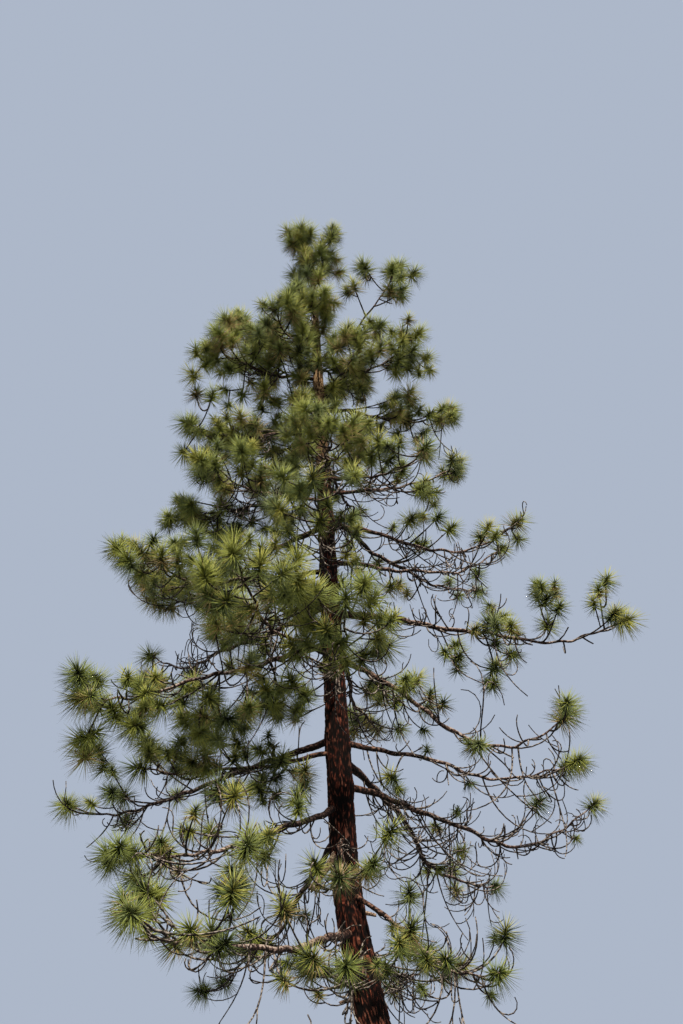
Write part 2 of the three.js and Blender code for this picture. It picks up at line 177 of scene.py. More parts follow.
# Twigs and sprays of the solids
TWIG_STEPS = 2
TWIG_PLACE_SLACK = 0.6
TWIG_RADIUS = 10
TWIG_TIP_RADIUS = 7
FIRST_TWIG_ON_BOUGH = 0.56
FIRST_TWIG_ON_TRUNK = 0.36
LAST_TWIG = 0.9
REACH_PER_TWIG = 760
TWIG_TRIES = 5
FEWEST_TWIGS = 2
TWIG_SPREAD = (32, 68)
TWIG_LIFT = (-12, 40)
TWIG_LENGTH = (290, 460)
FULL_TWIG_REACH = 1500
SHORTEST_TWIG_SHARE = 0.5
TWIG_LENGTH_SHARE = 0.42
TWIG_UPTURN = 0.2
NEEDLE = (245, 300)
NEEDLE_ROOT_RADIUS = 16
NEEDLE_TILT = 13
NEEDLE_DROOP = 4
BARE_BEHIND = -0.42
THIN_BEHIND = -0.2
THINNED_SHARE = 0.6
FEWEST_NEEDLES = 8
CLEARANCE = 3
LOWEST = 900

# The random numbers of the solids' rule
WORD = 0xFFFFFFFF
SEED_SPREAD = 2654435761
SEED_STEP = 0x6D2B79F5
LIMB_SEED = 11
MASS_SEED = 1001

# Seeds of the draws that only this script makes
BEND_SEED = 500
FINER_SEED = 2000
TRUNK_SHOOT_SEED = 3000
BARE_SEED = 4000
DEAL_SEED = 12
THICKNESS_SEED = 7
STUB_SEED = 40
FLAKE_SEED = 100
SCAR_SEED = 200

# Rods of room: the numbers from which their owners count, the most rods and tufts that there can
# be, and what is too little for two rods to count as other than parallel
TRUNK_OWNER = -1
BOUGH_OWNERS = 1000
RULE_TWIG_OWNERS = 2000
OWNERS_PER_LIMB = 10
TWIG_OWNERS = 5000
RULE_RODS = 20000
WOOD_RODS = 60000
MOST_TUFTS = 4000
PARALLEL = 1e-6

# Kinks that old side shoots leave along a limb
KINK = 11
KINK_LENGTHS = (430, 190)
KINK_RISE_PACES = (1.3, 0.8)
KINK_START = 160
KINK_INNER_SHARE = 0.35
KINK_END_SHARE = 0.08

# Finer twigs: each kind of draw is the range that it falls in
SHOOT_SPACING = 118
CROWN_FROM = (5500, 8500)
CROWN_SPACING_SHARE = 0.72
FINE_FIRST_ON_BOUGH = 0.28
FINE_FIRST_ON_TRUNK = 0.2
FINE_FIRST_IN_CROWN = 0.06
FINE_LAST = 0.98
FINE_SPREAD = (25, 85)
FINE_PITCH = (-62, 24)
FINE_END_PITCH = (12, 84)
FINE_TURN = 45
FINE_LENGTH = (240, 560)
FINE_LENGTH_SHARE = 0.26
FINE_TRIES = 5
CURL_LATENESS = 1.3
CURL_STEPS = 8
TWIG_DIP = -18
BROKEN_TWIG_POINTS = 4
FEWEST_SHOOTS = 6
SIDE_SHOOT_AT = (0.38, 0.82)
SIDE_SHOOT_TURN = (30, 62)
SIDE_SHOOT_PITCH = (-45, 30)
SIDE_SHOOT_LENGTH = (150, 300)
SIDE_SHOOT_STEPS = 5
SIDE_SHOOTS = 2.2
SPARSE_SIDE_SHOOTS_SHARE = 0.25
SIDE_SHOOT_TRIES = 2

# Tufts: how far apart and from the trunk at its foot and top, where they stand, and their sizes
TUFT_APART = (172, 120)
TUFT_FROM_TRUNK = (170, 60)
TUFT_INSIDE = 225
CROWN_TUFT_INSIDE = 120
UNDER_TUFTS_SHARE = 0.5
INNER_TUFTS_FROM = 0.3
TUFT_LOWEST = 1150
TUFT_SIZE = (0.6, 1.0)
CROWN_TUFT_SHARE = 0.85
SPARSE_TUFT_SHARE = 0.75

# Leafy twigs straight from the upper trunk: lowest, highest and step in height, and the rest
TRUNK_SHOOT_HEIGHTS = (7900, 10950, 62)
TRUNK_SHOOT_PITCH = (5, 50)
TRUNK_SHOOT_LENGTH = (190, 400)
TRUNK_SHOOT_TRIES = 8

# Bare twigs that hang from the limbs and curl up again
BARE_SPACING = 125
BARE_BELOW = 7200
BARE_ABOVE_SHARE = 0.9
BARE_AT = (0.1, 0.97)
BARE_SPREAD = 95
BARE_PITCH = (-92, 8)
BARE_CURL = (35, 185)
BARE_TURN = 105
BARE_LENGTH = (260, 1150)
BARE_LENGTH_SKEW = 1.5
BARE_STEPS = 10
BARE_RADII = (9.0, 5.0)
BARE_FORKS = 1
TWO_FORKS_FROM = 500
BARE_TRIES = 3
BARE_HANG = 900
FORK_TURN = 55
FORK_SHARE = (0.25, 0.6)
FORK_STEPS = 6
FORK_THICKNESS = 0.7
SMALL_TUFT = 0.5
SMALL_TUFT_CHANCE = 0.16

# The photograph's camera, in millimetres, degrees and pixels of its frame
CAMERA_AT = np.array([-620.0, -10300.0, 1600.0])
CAMERA_PITCH = 28
LENS = 35
SENSOR = 36
FRAME = np.array([683, 1024])
FRAME_MIDDLE = FRAME / 2
FOCAL = LENS / SENSOR * FRAME[1]
TILT = math.radians(CAMERA_PITCH)
VIEW_AHEAD = np.array([0, math.cos(TILT), math.sin(TILT)])
VIEW_UP = np.cross([1, 0, 0], VIEW_AHEAD)

# Gaps right through the crown: place in the photograph's frame, and radius there
OPEN_GAPS = np.array([
    (362, 235, 24), (356, 304, 15), (274, 274, 22), (222, 300, 20), (246, 292, 18), (420, 300, 14),
    (394, 310, 14), (382, 378, 15), (458, 384, 26), (462, 438, 20), (420, 466, 13), (195, 398, 12),
    (172, 408, 10), (190, 480, 12), (470, 482, 14), (205, 496, 15), (166, 494, 9), (240, 496, 14),
    (272, 520, 8), (86, 522, 20), (128, 588, 14), (138, 620, 24), (110, 650, 30), (146, 650, 24),
    (176, 652, 22), (208, 656, 18), (238, 652, 14), (185, 632, 18), (230, 680, 13), (112, 680, 14),
    (85, 776, 22), (112, 812, 16), (146, 812, 16), (150, 788, 14), (255, 738, 12), (372, 508, 20),
    (396, 494, 16), (452, 495, 10), (496, 494, 14), (462, 522, 11), (430, 532, 12), (365, 543, 14),
    (466, 556, 14), (500, 556, 12), (434, 590, 16), (486, 590, 16), (512, 598, 14), (535, 602, 10),
    (398, 628, 10), (560, 655, 18), (600, 662, 24), (628, 652, 16), (402, 716, 12), (470, 720, 20),
    (508, 710, 26), (540, 735, 26), (504, 745, 14), (590, 740, 14), (548, 775, 20), (490, 770, 18),
    (445, 762, 14), (560, 815, 22), (500, 848, 24), (535, 846, 22), (520, 820, 18), (562, 852, 18),
    (496, 884, 18), (470, 830, 16), (440, 800, 16), (470, 868, 14), (165, 825, 13), (194, 848, 20),
    (216, 861, 10), (294, 850, 13), (305, 820, 13), (161, 924, 14), (110, 958, 32), (74, 916, 16),
    (187, 968, 24), (231, 958, 15), (275, 946, 13), (56, 890, 20), (190, 790, 9), (345, 500, 9),
    (110, 684, 14), (460, 942, 22), (502, 960, 18), (430, 975, 14), (424, 566, 12), (388, 545, 12),
    (440, 545, 10), (356, 490, 12), (236, 478, 8), (130, 930, 16), (150, 955, 18), (580, 652, 14),
    (606, 630, 8), (352, 618, 9), (396, 556, 18), (458, 562, 18), (492, 562, 16), (592, 624, 12),
    (405, 490, 14), (372, 478, 8), (440, 462, 8), (470, 460, 8), (566, 742, 14), (428, 402, 10),
    (592, 556, 24), (528, 625, 12), (552, 636, 14), (464, 622, 12), (200, 622, 12), (80, 650, 24),
    (75, 760, 16), (178, 815, 14), (282, 282, 13), (168, 628, 14), (352, 262, 8), (289, 255, 12),
    (339, 247, 9), (240, 384, 10), (284, 334, 7), (350, 348, 8), (350, 408, 8), (320, 376, 14),
])

# Gaps that the bare twigs leave open as well
WIDE_GAPS = np.array([
    (610, 675, 44), (548, 668, 20), (100, 640, 36), (150, 630, 22), (74, 916, 24), (86, 522, 30),
    (540, 560, 30), (600, 555, 30), (470, 380, 30), (540, 880, 24), (237, 294, 14), (404, 312, 14),
    (455, 515, 12), (46, 826, 14), (498, 346, 40),
])

# Clumps of tufts that show well: place in the photograph's frame, and radius there
CLUMPS = [
    (206, 362, 20), (232, 396, 12), (268, 398, 16), (300, 402, 16), (425, 365, 10), (364, 270, 12),
    (394, 266, 10), (300, 366, 14), (240, 366, 14), (272, 372, 12), (298, 236, 12), (172, 518, 12),
    (178, 550, 14), (135, 552, 22), (82, 686, 17), (88, 736, 15), (262, 692, 20), (211, 718, 22),
    (245, 712, 18), (286, 704, 16), (300, 684, 12), (195, 720, 14), (240, 750, 12), (300, 775, 12),
    (175, 745, 14), (552, 592, 20), (608, 586, 10), (495, 615, 12), (452, 655, 14), (492, 671, 13),
    (436, 699, 13), (408, 680, 10), (570, 709, 8), (577, 766, 9), (117, 853, 14), (164, 849, 10),
    (233, 884, 14), (270, 785, 16), (298, 798, 10), (205, 392, 9), (366, 396, 12), (212, 365, 10),
    (400, 366, 9), (432, 360, 9), (238, 522, 14), (368, 590, 12), (396, 588, 10), (112, 716, 10),
    (140, 716, 14), (270, 752, 14), (395, 780, 10), (300, 715, 10), (366, 686, 10), (318, 312, 9),
    (312, 345, 10), (322, 425, 12),
]
# Square pixels for each tuft of a clump, where its limb is looked for and how far back along
# the limb its first twig starts, how deep the clump is, and which points of a twig can fork
CLUMP_AREA = 62
CLUMP_FROM = (0.3, 0.98)
CLUMP_BACK = 5
CLUMP_STEPS = 60
CLUMP_DEPTH = 260
CLUMP_TRIES = 6
CLUMP_FORKS = slice(2, 6)
CLUMP_SEED_STEP = 1000

# Kinds of needle: name, colour, share of the tufts' fronts in painted shade and in painted light, of
# the second sprays in front low on the tree, painted darker there, and of their rears, where the
# older needles are, darkened by painted shade in the tuft's core
NEEDLE_KINDS = [
    ("fresh_sunlit", "#989645", 0.10, 0.28, 0.02, 0.03),
    ("leaf_green", "#848a3c", 0.27, 0.37, 0.06, 0.20),
    ("mid_green", "#737d3a", 0.30, 0.24, 0.16, 0.25),
    ("deep_green", "#566330", 0.18, 0.05, 0.34, 0.20),
    ("shade_green", "#2f391c", 0.06, 0.00, 0.34, 0.08),
    ("grey_green", "#6a7548", 0.09, 0.06, 0.08, 0.12),
    ("straw", "#968353", 0.00, 0.00, 0.00, 0.12),
]
# Heights between which the tufts' second sprays change from the painted shade of those low on the tree
LOW_SPRAYS = (3200, 6200)
# A tuft's light: what its place out along the limb, its pitch and chance give it, and the share
# that the sparsest limbs and the lowest tufts have of it
LIGHT_OUT = 0.6
LIGHT_UP = 0.4
LIGHT_CHANCE = 0.3
SPARSE_LIGHT_SHARE = 0.5
LOW_LIGHT_SHARE = 0.6
FIRST_SPRAY_SHADE = 0.6

# Sprays of a tuft: where the shoot starts and ends from the tuft's middle, how far its needles
# lean from it at both ends, and their share of the full length
FRONT_SPRAY = (-45, 14, 86, 0, 1.0)
REAR_SPRAY = (-120, -40, 114, 62, 0.94)
TUFT_SPRAYS = [FRONT_SPRAY, FRONT_SPRAY, REAR_SPRAY, REAR_SPRAY]

# Needles on a shoot: turn from one to the next, seeds for the chances of a kind, and the
# chances of lean, turn and length
GOLDEN_ANGLE = 2.39996
SEEDS_PER_KIND = 10
LEAN_CHANCE = (-0.2, 0.2)
TURN_CHANCE = (-0.5, 0.5)
LENGTH_CHANCE = (0.78, 1.0)

# The trunk's skin: points round it and levels up it, closer at the foot, and plates round it
TRUNK_AROUND = 132
TRUNK_LEVELS = 600
LEVEL_SKEW = 1.12
PLATES_AROUND = 33
TOP_PLATE_HEIGHT = 48
PLATE_JITTER_FROM = 0.12
PLATE_JITTER = 0.76
# How far the plates' borders wander round and up the trunk, and how ragged and flaky they are
WANDER_ROUND = 1.1
WANDER_UP = 1.3
RAGGED = 0.9
STAND_OUT_BY = 0.6
SMOOTH_SHARE = 0.55
# The noises of the trunk's skin: steps round and up for each plate, seed, and first step up
ROUND_NOISE = (1, 0.8, 3, 0)
UP_NOISE = (1, 0.6, 4, 0)
RAGGED_NOISE = (2, 2, 8, 9)
FLAKE_NOISE = (4, 7, 6, 0)
PLATE_SEED = 5
# How high the relief stands out past the trunk of the solids, and how shallow it gets higher up
RELIEF_MIDDLE = 0.8
TOP_RELIEF_SHARE = 0.16
TOP_RELIEF_FROM = 8000
# Swelling of the trunk round the root of a limb
ROOT_SWELL = 0.5
SWELL_WIDTH = 1.5
SWELL_TALLER = 0.8

# Skin of the broken limbs, which starts inside the trunk
STUB_RINGS = 26
STUB_SIDES = 14
STUB_START = 0.6
STUB_RIDGES = 6
STUB_THINNEST = 0.86
STUB_RIDGE_DEPTH = 0.24
STUB_JAGGED = 1.3

# Skin of the limbs, which starts inside the trunk: rings, flakes and old scars
BOUGH_SIDES = 12
STEM_SIDES = 10
LIMB_START = 0.55
LIMB_RING = 24
FEWEST_RINGS = 8
FLAKE = 38
FLAKES_PER_SCAR = 4
FLAKE_DEPTH = 0.2
SCAR_DEPTH = 0.3
TWIG_THICKNESS_CHANCE = (0.88, 1.14)

# The stage, in metres and degrees
FLOOR_RADIUS = 90
FLOOR_SIDES = 96
LIGHT_TILT = 43
LIGHT_TURN = 16
LIGHT_SIZE = 6
SEEN_TO = 400


def seeded(seed):
    """Even random numbers from 0 to 1, the same as in the source for the same seed."""
    state = seed * SEED_SPREAD & WORD
    while True:
        state = state + SEED_STEP & WORD
        mixed = (state ^ state >> 15) * (state | 1) & WORD
        mixed ^= mixed + ((mixed ^ mixed >> 7) * (mixed | 61) & WORD) & WORD
        yield (mixed ^ mixed >> 14) / (WORD + 1)


def mix(low, high, share):
    return low + (high - low) * share


def smooth(value, low, high):
    share = np.clip((value - low) / (high - low), 0, 1)
    return share * share * (3 - 2 * share)


def unit(vector):
    return vector / np.linalg.norm(vector, axis=-1, keepdims=True)


def bearing(azimuth, pitch=0.0):
    a, p = np.broadcast_arrays(np.radians(azimuth), np.radians(pitch))
    return np.stack([np.cos(p) * np.cos(a), np.cos(p) * np.sin(a), np.sin(p)], -1)


def azimuth_of(way):
    return math.degrees(math.atan2(way[1], way[0]))


def in_view(points):
    """Where points fall in the photograph's frame, and how far ahead of its camera they are."""
    away = points - CAMERA_AT
    depth = away @ VIEW_AHEAD
    right_and_down = np.stack([away[..., 0], -(away @ VIEW_UP)], -1)
    return FRAME_MIDDLE + FOCAL * right_and_down / depth[..., None], depth


def from_view(place, depth):
    """The point at that place in the photograph's frame, so far ahead of its camera."""
    right, down = (place - FRAME_MIDDLE) * depth / FOCAL
    return CAMERA_AT + VIEW_AHEAD * depth - VIEW_UP * down + np.array([right, 0, 0])


def trunk_axis(z):
    z = np.asarray(z, float)
    x = -(LEAN * z + BEND * smooth(z, 0, BEND_HEIGHT))
    return np.stack([x, np.zeros_like(z), z], -1)


def trunk_radius(z):
    fade = np.maximum(0, (z - TIP_FADE_FROM) / (TRUNK_TOP - TIP_FADE_FROM))
    return FOOT_RADIUS - RADIUS_LOST_PER_MM * z - TIP_FADE * fade * fade


# Limbs


def limb_of(row, index):
    name, height, azimuth, reach, climb, sag, tuft_share, bare_share = row
    draw = seeded(index + LIMB_SEED)
    return SimpleNamespace(
        name=name, index=index, azimuth=azimuth, reach=reach, climb=climb, sag=sag,
        tuft_share=tuft_share, bare_share=bare_share, carried=index < len(BOUGHS),
        root=trunk_axis(height), root_radius=THICK_AT_REACH_0 + THICK_PER_MM_OF_REACH * reach,
        phases=[next(draw) * TAU for _ in range(4)],
    )


def limb_line(limb, t):
    """The limb's centre line at the shares t: out, climbing, sagging and wavering a little."""
    t = np.asarray(t, float)

    def waves(pair, a, b):
        return np.sin(pair[0] * t + a) + 0.5 * np.sin(pair[1] * t + b)

    waver = WAVER * limb.reach * np.sin(np.pi * t)
    sideways = waver * waves(SIDE_WAVES, *limb.phases[:2])
    rise = waver * RISE_SHARE * waves(RISE_WAVES, *limb.phases[2:])
    sagging = limb.sag * limb.reach * np.sin(np.pi * np.maximum(t, 0) ** SAG_SKEW)
    outward = (limb.reach * t)[..., None] * bearing(limb.azimuth)
    aside = sideways[..., None] * bearing(limb.azimuth + 90)
    return limb.root + outward + aside + (limb.climb * t - sagging + rise)[..., None] * UP


def limb_way(limb, t):
    t = np.asarray(t, float)
    return unit(limb_line(limb, t + TANGENT_STEP) - limb_line(limb, t - TANGENT_STEP))


def limb_radius(limb, t):
    collar = 1 + COLLAR * np.exp(-t / COLLAR_SHARE)
    return collar * mix(limb.root_radius, LIMB_TIP_RADIUS, t**THINNING)


def kinked_line(limb, t):
    """The centre line with its kinks, which fade out at the trunk and at the tip."""
    t = np.asarray(t, float)
    way = limb_way(limb, t)
    side = unit(np.cross(way, UP))
    lift = np.cross(side, way)
    along = limb.reach * t
    fade = np.clip(along / KINK_START, 0, 1) * np.clip((1 - t) / KINK_END_SHARE, 0, 1)
    fade = fade * mix(KINK_INNER_SHARE, 1, t)
    slow, quick = (TAU * along / length for length in KINK_LENGTHS)
    slow_rise, quick_rise = slow * KINK_RISE_PACES[0], quick * KINK_RISE_PACES[1]
    a, b, c, d = limb.phases
    sideways = KINK * fade * (np.sin(slow + a) + 0.5 * np.sin(quick + b))
    upwards = KINK * fade * (np.sin(slow_rise + c) + 0.5 * np.sin(quick_rise + d))
    return limb_line(limb, t) + sideways[..., None] * side + upwards[..., None] * lift


# Room that wood and needles hold, as round-ended rods


class Room:
    """Rods, each with its radius and the number of its owner."""

    def __init__(self, most):
        self.ends = np.zeros((most, 2, 3))
        self.radius = np.zeros(most)
        self.owner = np.zeros(most, int)
        self.count = 0

    def add(self, points, radii, owner):
        """Takes the room of a line: one rod between each two points."""
        for k in range(len(points) - 1):
            self.ends[self.count] = points[k], points[k + 1]
            self.radius[self.count] = max(radii[k], radii[k + 1])
            self.owner[self.count] = owner
            self.count += 1

    def is_free(self, points, radii, *bearers):
        """Whether a line stays clear of every rod but those of the pieces that bear it."""
        n = self.count
        low = self.ends[:n].min(1) - self.radius[:n, None]
        high = self.ends[:n].max(1) + self.radius[:n, None]
        others = ~np.isin(self.owner[:n], bearers)
        for k in range(len(points) - 1):
            one, two = points[k], points[k + 1]
            radius = max(radii[k], radii[k + 1])
            room = radius + 2 * CLEARANCE
            near = others & (low <= np.maximum(one, two) + room).all(1)
            near &= (high >= np.minimum(one, two) - room).all(1)
            if near.any():
                gap = stretch_gaps(one, two, self.ends[:n][near])
                if (gap <= radius + self.radius[:n][near] + CLEARANCE).any():
                    return False
        return True


def stretch_gaps(one, two, others):
    """The shortest ways from the stretch between two points to each of the others."""
    d1 = two - one
    d2 = others[:, 1] - others[:, 0]
    r = one - others[:, 0]
    a, e = d1 @ d1, (d2 * d2).sum(1)
    b, c, f = d2 @ d1, r @ d1, (d2 * r).sum(1)
    apart = a * e - b * b
    crossing = np.clip((b * f - c * e) / np.maximum(apart, PARALLEL), 0, 1)
    s = np.where(apart > PARALLEL, crossing, 0)
    t = (b * s + f) / e
    s = np.where(t < 0, np.clip(-c / a, 0, 1), np.where(t > 1, np.clip((b - c) / a, 0, 1), s))
    t = np.clip(t, 0, 1)
    gap = one + s[:, None] * d1 - others[:, 0] - t[:, None] * d2
    return np.linalg.norm(gap, axis=1)


# The rule of the solids' sprays, whose needles stand on the faces of a core of twenty

GOLDEN = (1 + math.sqrt(5)) / 2
CORE_POINTS = unit(np.array([
    (-1, GOLDEN, 0), (1, GOLDEN, 0), (-1, -GOLDEN, 0), (1, -GOLDEN, 0),
    (0, -1, GOLDEN), (0, 1, GOLDEN), (0, -1, -GOLDEN), (0, 1, -GOLDEN),
    (GOLDEN, 0, -1), (GOLDEN, 0, 1), (-GOLDEN, 0, -1), (-GOLDEN, 0, 1),
]))
CORE_FACES = [
    (0, 11, 5), (0, 5, 1), (0, 1, 7), (0, 7, 10), (0, 10, 11),
    (1, 5, 9), (5, 11, 4), (11, 10, 2), (10, 7, 6), (7, 1, 8),
    (3, 9, 4), (3, 4, 2), (3, 2, 6), (3, 6, 8), (3, 8, 9),
    (4, 9, 5), (2, 4, 11), (6, 2, 10), (8, 6, 7), (9, 8, 1),
]
CORE_MIDDLES = unit(np.array([CORE_POINTS[list(face)].sum(0) for face in CORE_FACES]))


def rule_spray(room, centre, way, draw, owner):
    """The needles that a solid spray has room for, by the same draws as in the source."""
    turn = Vector(CORE_MIDDLES[0]).rotation_difference(Vector(-way))
    roll = Quaternion(Vector(way), next(draw) * TAU)
    spun = CORE_MIDDLES @ np.array((roll @ turn).to_matrix()).T
    made = []
    for middle in spun:
        aside = Vector(unit(np.cross(middle, UP)))
        aside.rotate(Quaternion(Vector(middle), next(draw) * TAU))
        needle = middle + np.array(aside) * math.tan(math.radians(NEEDLE_TILT)) * next(draw)
        needle = unit(needle - UP * math.tan(math.radians(NEEDLE_DROOP)))
        apex = centre + needle * mix(*NEEDLE, next(draw))
        ahead = middle @ way
        bare = ahead < BARE_BEHIND or (ahead < THIN_BEHIND and next(draw) < THINNED_SHARE)
        line = [centre, (centre + apex) / 2, apex]
        radii = [NEEDLE_ROOT_RADIUS, NEEDLE_ROOT_RADIUS / 2, 0]
        if not bare and apex[2] >= LOWEST and room.is_free(line, radii, owner):
            made.append((line, radii))
    return made


def short_limb_share(limb):
    """How long a short limb's twigs are for those of a limb of full reach."""
    return mix(SHORTEST_TWIG_SHARE, 1, min(1, limb.reach / FULL_TWIG_REACH))


def rule_twig(limb, t, side, draw):
    spread = side * mix(*TWIG_SPREAD, next(draw))
    pitch = mix(*TWIG_LIFT, next(draw))
    longer = TWIG_LENGTH_SHARE * limb.reach * (1 - t) * next(draw)
    way = bearing(azimuth_of(limb_way(limb, t)) + spread, pitch)
    return limb_line(limb, t), way, short_limb_share(limb) * mix(*TWIG_LENGTH, next(draw)) + longer


def rule_line(root, way, length):
    s = np.linspace(0, 1, TWIG_STEPS + 1)[:, None]
    return root + length * (way * s + UP * TWIG_UPTURN * s * s)


def curling(root, azimuth, pitches, turn, length, steps=CURL_STEPS):
    """A twig's line, whose heading swings round and climbs from one pitch to the other."""
    s = (np.arange(steps) + 0.5) / steps
    headings = bearing(azimuth + turn * s, mix(*pitches, s**CURL_LATENESS))
    return root + np.vstack([np.zeros(3), np.cumsum(headings, axis=0)]) * length / steps


def reaching(root, end, pitch):
    """A twig's line between two points, which leaves with a dip and climbs at its end."""
    azimuth = azimuth_of(end - root)
    reach = np.linalg.norm(end - root) / 3
    dipping = root + reach * bearing(azimuth, TWIG_DIP)
    climbing = end - reach * bearing(azimuth, pitch)
    s = np.linspace(0, 1, CURL_STEPS + 1)[:, None]
    shares = [(1 - s) ** 3, 3 * s * (1 - s) ** 2, 3 * s * s * (1 - s), s**3]
    return sum(share * point for share, point in zip(shares, [root, dipping, climbing, end]))


def end_way(points):
    return unit(points[-1] - points[-2])


# Growing


class Growth:
    """Every limb, twig and tuft of the tree."""

    def __init__(self, shoot_spacing, bare_spacing):
        self.limbs = [limb_of(row, index) for index, row in enumerate(BOUGHS + SIDE_LIMBS)]
        self.twigs = []
        self.bare_twigs = []
        self.tufts = []
        self.tuft_centres = np.zeros((MOST_TUFTS, 3))
        self.rule_room = Room(RULE_RODS)
        self.wood_room = Room(WOOD_RODS)
        self.shoot_spacing = shoot_spacing
        self.bare_spacing = bare_spacing
        self.take_limb_room()
        for limb in self.limbs:
            limb.box = self.mass_box(limb)
            self.grow_rule_mass(limb)
        for clump in CLUMPS:
            self.grow_clump(*clump)
        for limb in self.limbs:
            self.grow_finer_twigs(limb)
        self.grow_trunk_shoots()
        for limb in self.limbs:
            self.grow_bare_twigs(limb)

    def take_limb_room(self):
        """Fills the room of the trunk, the broken limbs and the limbs."""
        heights = np.append(np.arange(0, TRUNK_TOP, TRUNK_ROD), TRUNK_TOP)
        rods = []
        for low, high in zip(heights[:-1], heights[1:]):
            radius = trunk_radius(low) + FLARE * math.exp(-low / FLARE_HEIGHT)
            rods.append((trunk_axis([low, high]), radius))
        for height, azimuth, length, radius, pitch in STUBS:
            far = trunk_radius(height) / math.cos(math.radians(pitch)) + length
            rods.append((trunk_axis(height) + np.outer([0, far], bearing(azimuth, pitch)), radius))
        for line, radius in rods:
            for room in (self.rule_room, self.wood_room):
                room.add(line, [radius, radius], TRUNK_OWNER)
        for limb in self.limbs:
            i = limb.index
            lines = [(self.rule_room, limb_line, 0, 1, LIMB_STEPS, i)]
            if limb.carried:
                lines = [
                    (self.rule_room, limb_line, 0, BOUGH_SHARE, BOUGH_STEPS, BOUGH_OWNERS + i),
                    (self.rule_room, limb_line, BOUGH_SHARE, 1, STEM_STEPS, i),
                ]
            lines.append((self.wood_room, kinked_line, 0, 1, 2 * LIMB_STEPS, i))
            for room, line_of, start, end, steps, owner in lines:
                t = np.linspace(start, end, steps + 1)
                room.add(line_of(limb, t), limb_radius(limb, t), owner)

    def grow_rule_mass(self, limb):
        """The twigs and sprays that the solid mass has."""
        draw = seeded(limb.index + MASS_SEED)
        rng = np.random.default_rng(BEND_SEED + limb.index)
        end, way = limb_line(limb, 1.0), limb_way(limb, 1.0)
        for line, radii in rule_spray(self.rule_room, end, way, draw, limb.index):
            self.rule_room.add(line, radii, limb.index)
        self.add_tuft(limb, end, way, 1.0)
        first = FIRST_TWIG_ON_BOUGH if limb.carried else FIRST_TWIG_ON_TRUNK
        count = max(FEWEST_TWIGS, round(limb.reach / REACH_PER_TWIG))
        for k in range(count):
            owner = RULE_TWIG_OWNERS + OWNERS_PER_LIMB * limb.index + k
            for _ in range(TWIG_TRIES):
                t = mix(first, LAST_TWIG, (k + TWIG_PLACE_SLACK * next(draw)) / count)
                root, way, length = rule_twig(limb, t, 1 if k % 2 else -1, draw)
                line = rule_line(root, way, length)
                radii = np.linspace(TWIG_RADIUS, TWIG_TIP_RADIUS, TWIG_STEPS + 1)
                if not self.rule_room.is_free(line, radii, limb.index):
                    continue
                ahead = unit(way + 2 * TWIG_UPTURN * UP)
                needles = rule_spray(self.rule_room, line[-1], ahead, draw, owner)
                if len(needles) < FEWEST_NEEDLES:
                    continue
                for rod, rod_radii in [(line, radii), *needles]:
                    self.rule_room.add(rod, rod_radii, owner)
                self.bend_twig(limb, t, line[-1], rng)
                break

    def bend_twig(self, limb, t, end, rng):
        """A twig of the solids, drawn from the kinked limb to the same end with a dip. One that
        would end in a gap is broken off short."""
        line = reaching(kinked_line(limb, t), end, rng.uniform(*FINE_END_PITCH))
        clear = self.clears_gaps(end)
        twig = self.add_twig(line if clear else line[:BROKEN_TWIG_POINTS], TWIG_RADIUS)
        if clear:
            self.add_tuft(limb, end, end_way(line), 1.0)
            self.grow_side_shoots(limb, twig, rng)

    def add_twig(self, line, radius):
        radii = np.linspace(radius, TWIG_TIP_RADIUS, len(line))
        self.twigs.append((line, radii))
        twig = SimpleNamespace(line=line, owner=TWIG_OWNERS + len(self.twigs))
        self.wood_room.add(line, radii, twig.owner)
        return twig

    def add_tuft(self, limb, centre, way, size):
        size *= mix(1, CROWN_TUFT_SHARE, smooth(centre[2], *CROWN_FROM))
        size *= mix(SPARSE_TUFT_SHARE, 1, limb.tuft_share)
        self.tuft_centres[len(self.tufts)] = centre
        self.tufts.append(SimpleNamespace(centre=centre, way=way, size=size, limb=limb))

    def takes_tuft(self, limb, centre):
        """Whether a tuft keeps to the reach of its mass and stands apart from the others."""
        low, high = limb.box
        if (centre < low).any() or (centre > high).any() or centre[2] < TUFT_LOWEST:
            return False
        return self.stands_apart(centre) and self.clears_gaps(centre)

    def clears_gaps(self, points, gaps=OPEN_GAPS):
        """Whether a point, or each point of a line, shows outside all the gaps."""
        from_gaps = np.linalg.norm(in_view(points)[0][..., None, :] - gaps[:, :2], axis=-1)
        return (from_gaps > gaps[:, 2]).all()

    def stands_apart(self, centre):
        """Whether a tuft is clear of the trunk and of the other tufts."""
        axis = trunk_axis(min(centre[2], TRUNK_TOP))
        share = axis[2] / TRUNK_TOP
        room = trunk_radius(axis[2]) + mix(*TUFT_FROM_TRUNK, share)
        if np.hypot(*(centre - axis)[:2]) < room:
            return False
        others = self.tuft_centres[: len(self.tufts)]
        return (np.linalg.norm(others - centre, axis=1) > mix(*TUFT_APART, share)).all()

    def mass_box(self, limb):
        """The box that the tufts of a limb's mass keep to, some way inside that of the solid."""
        low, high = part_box("foliage_" + limb.name)
        inside = mix(TUFT_INSIDE, CROWN_TUFT_INSIDE, smooth(limb.root[2], *CROWN_FROM))
        low = np.array(low) / MM + inside * np.array([1, 1, UNDER_TUFTS_SHARE])
        high = np.array(high) / MM - inside
        middle = (low + high) / 2
        inner = limb_line(limb, INNER_TUFTS_FROM)
        return np.min([low, middle, inner], axis=0), np.max([high, middle, inner], axis=0)

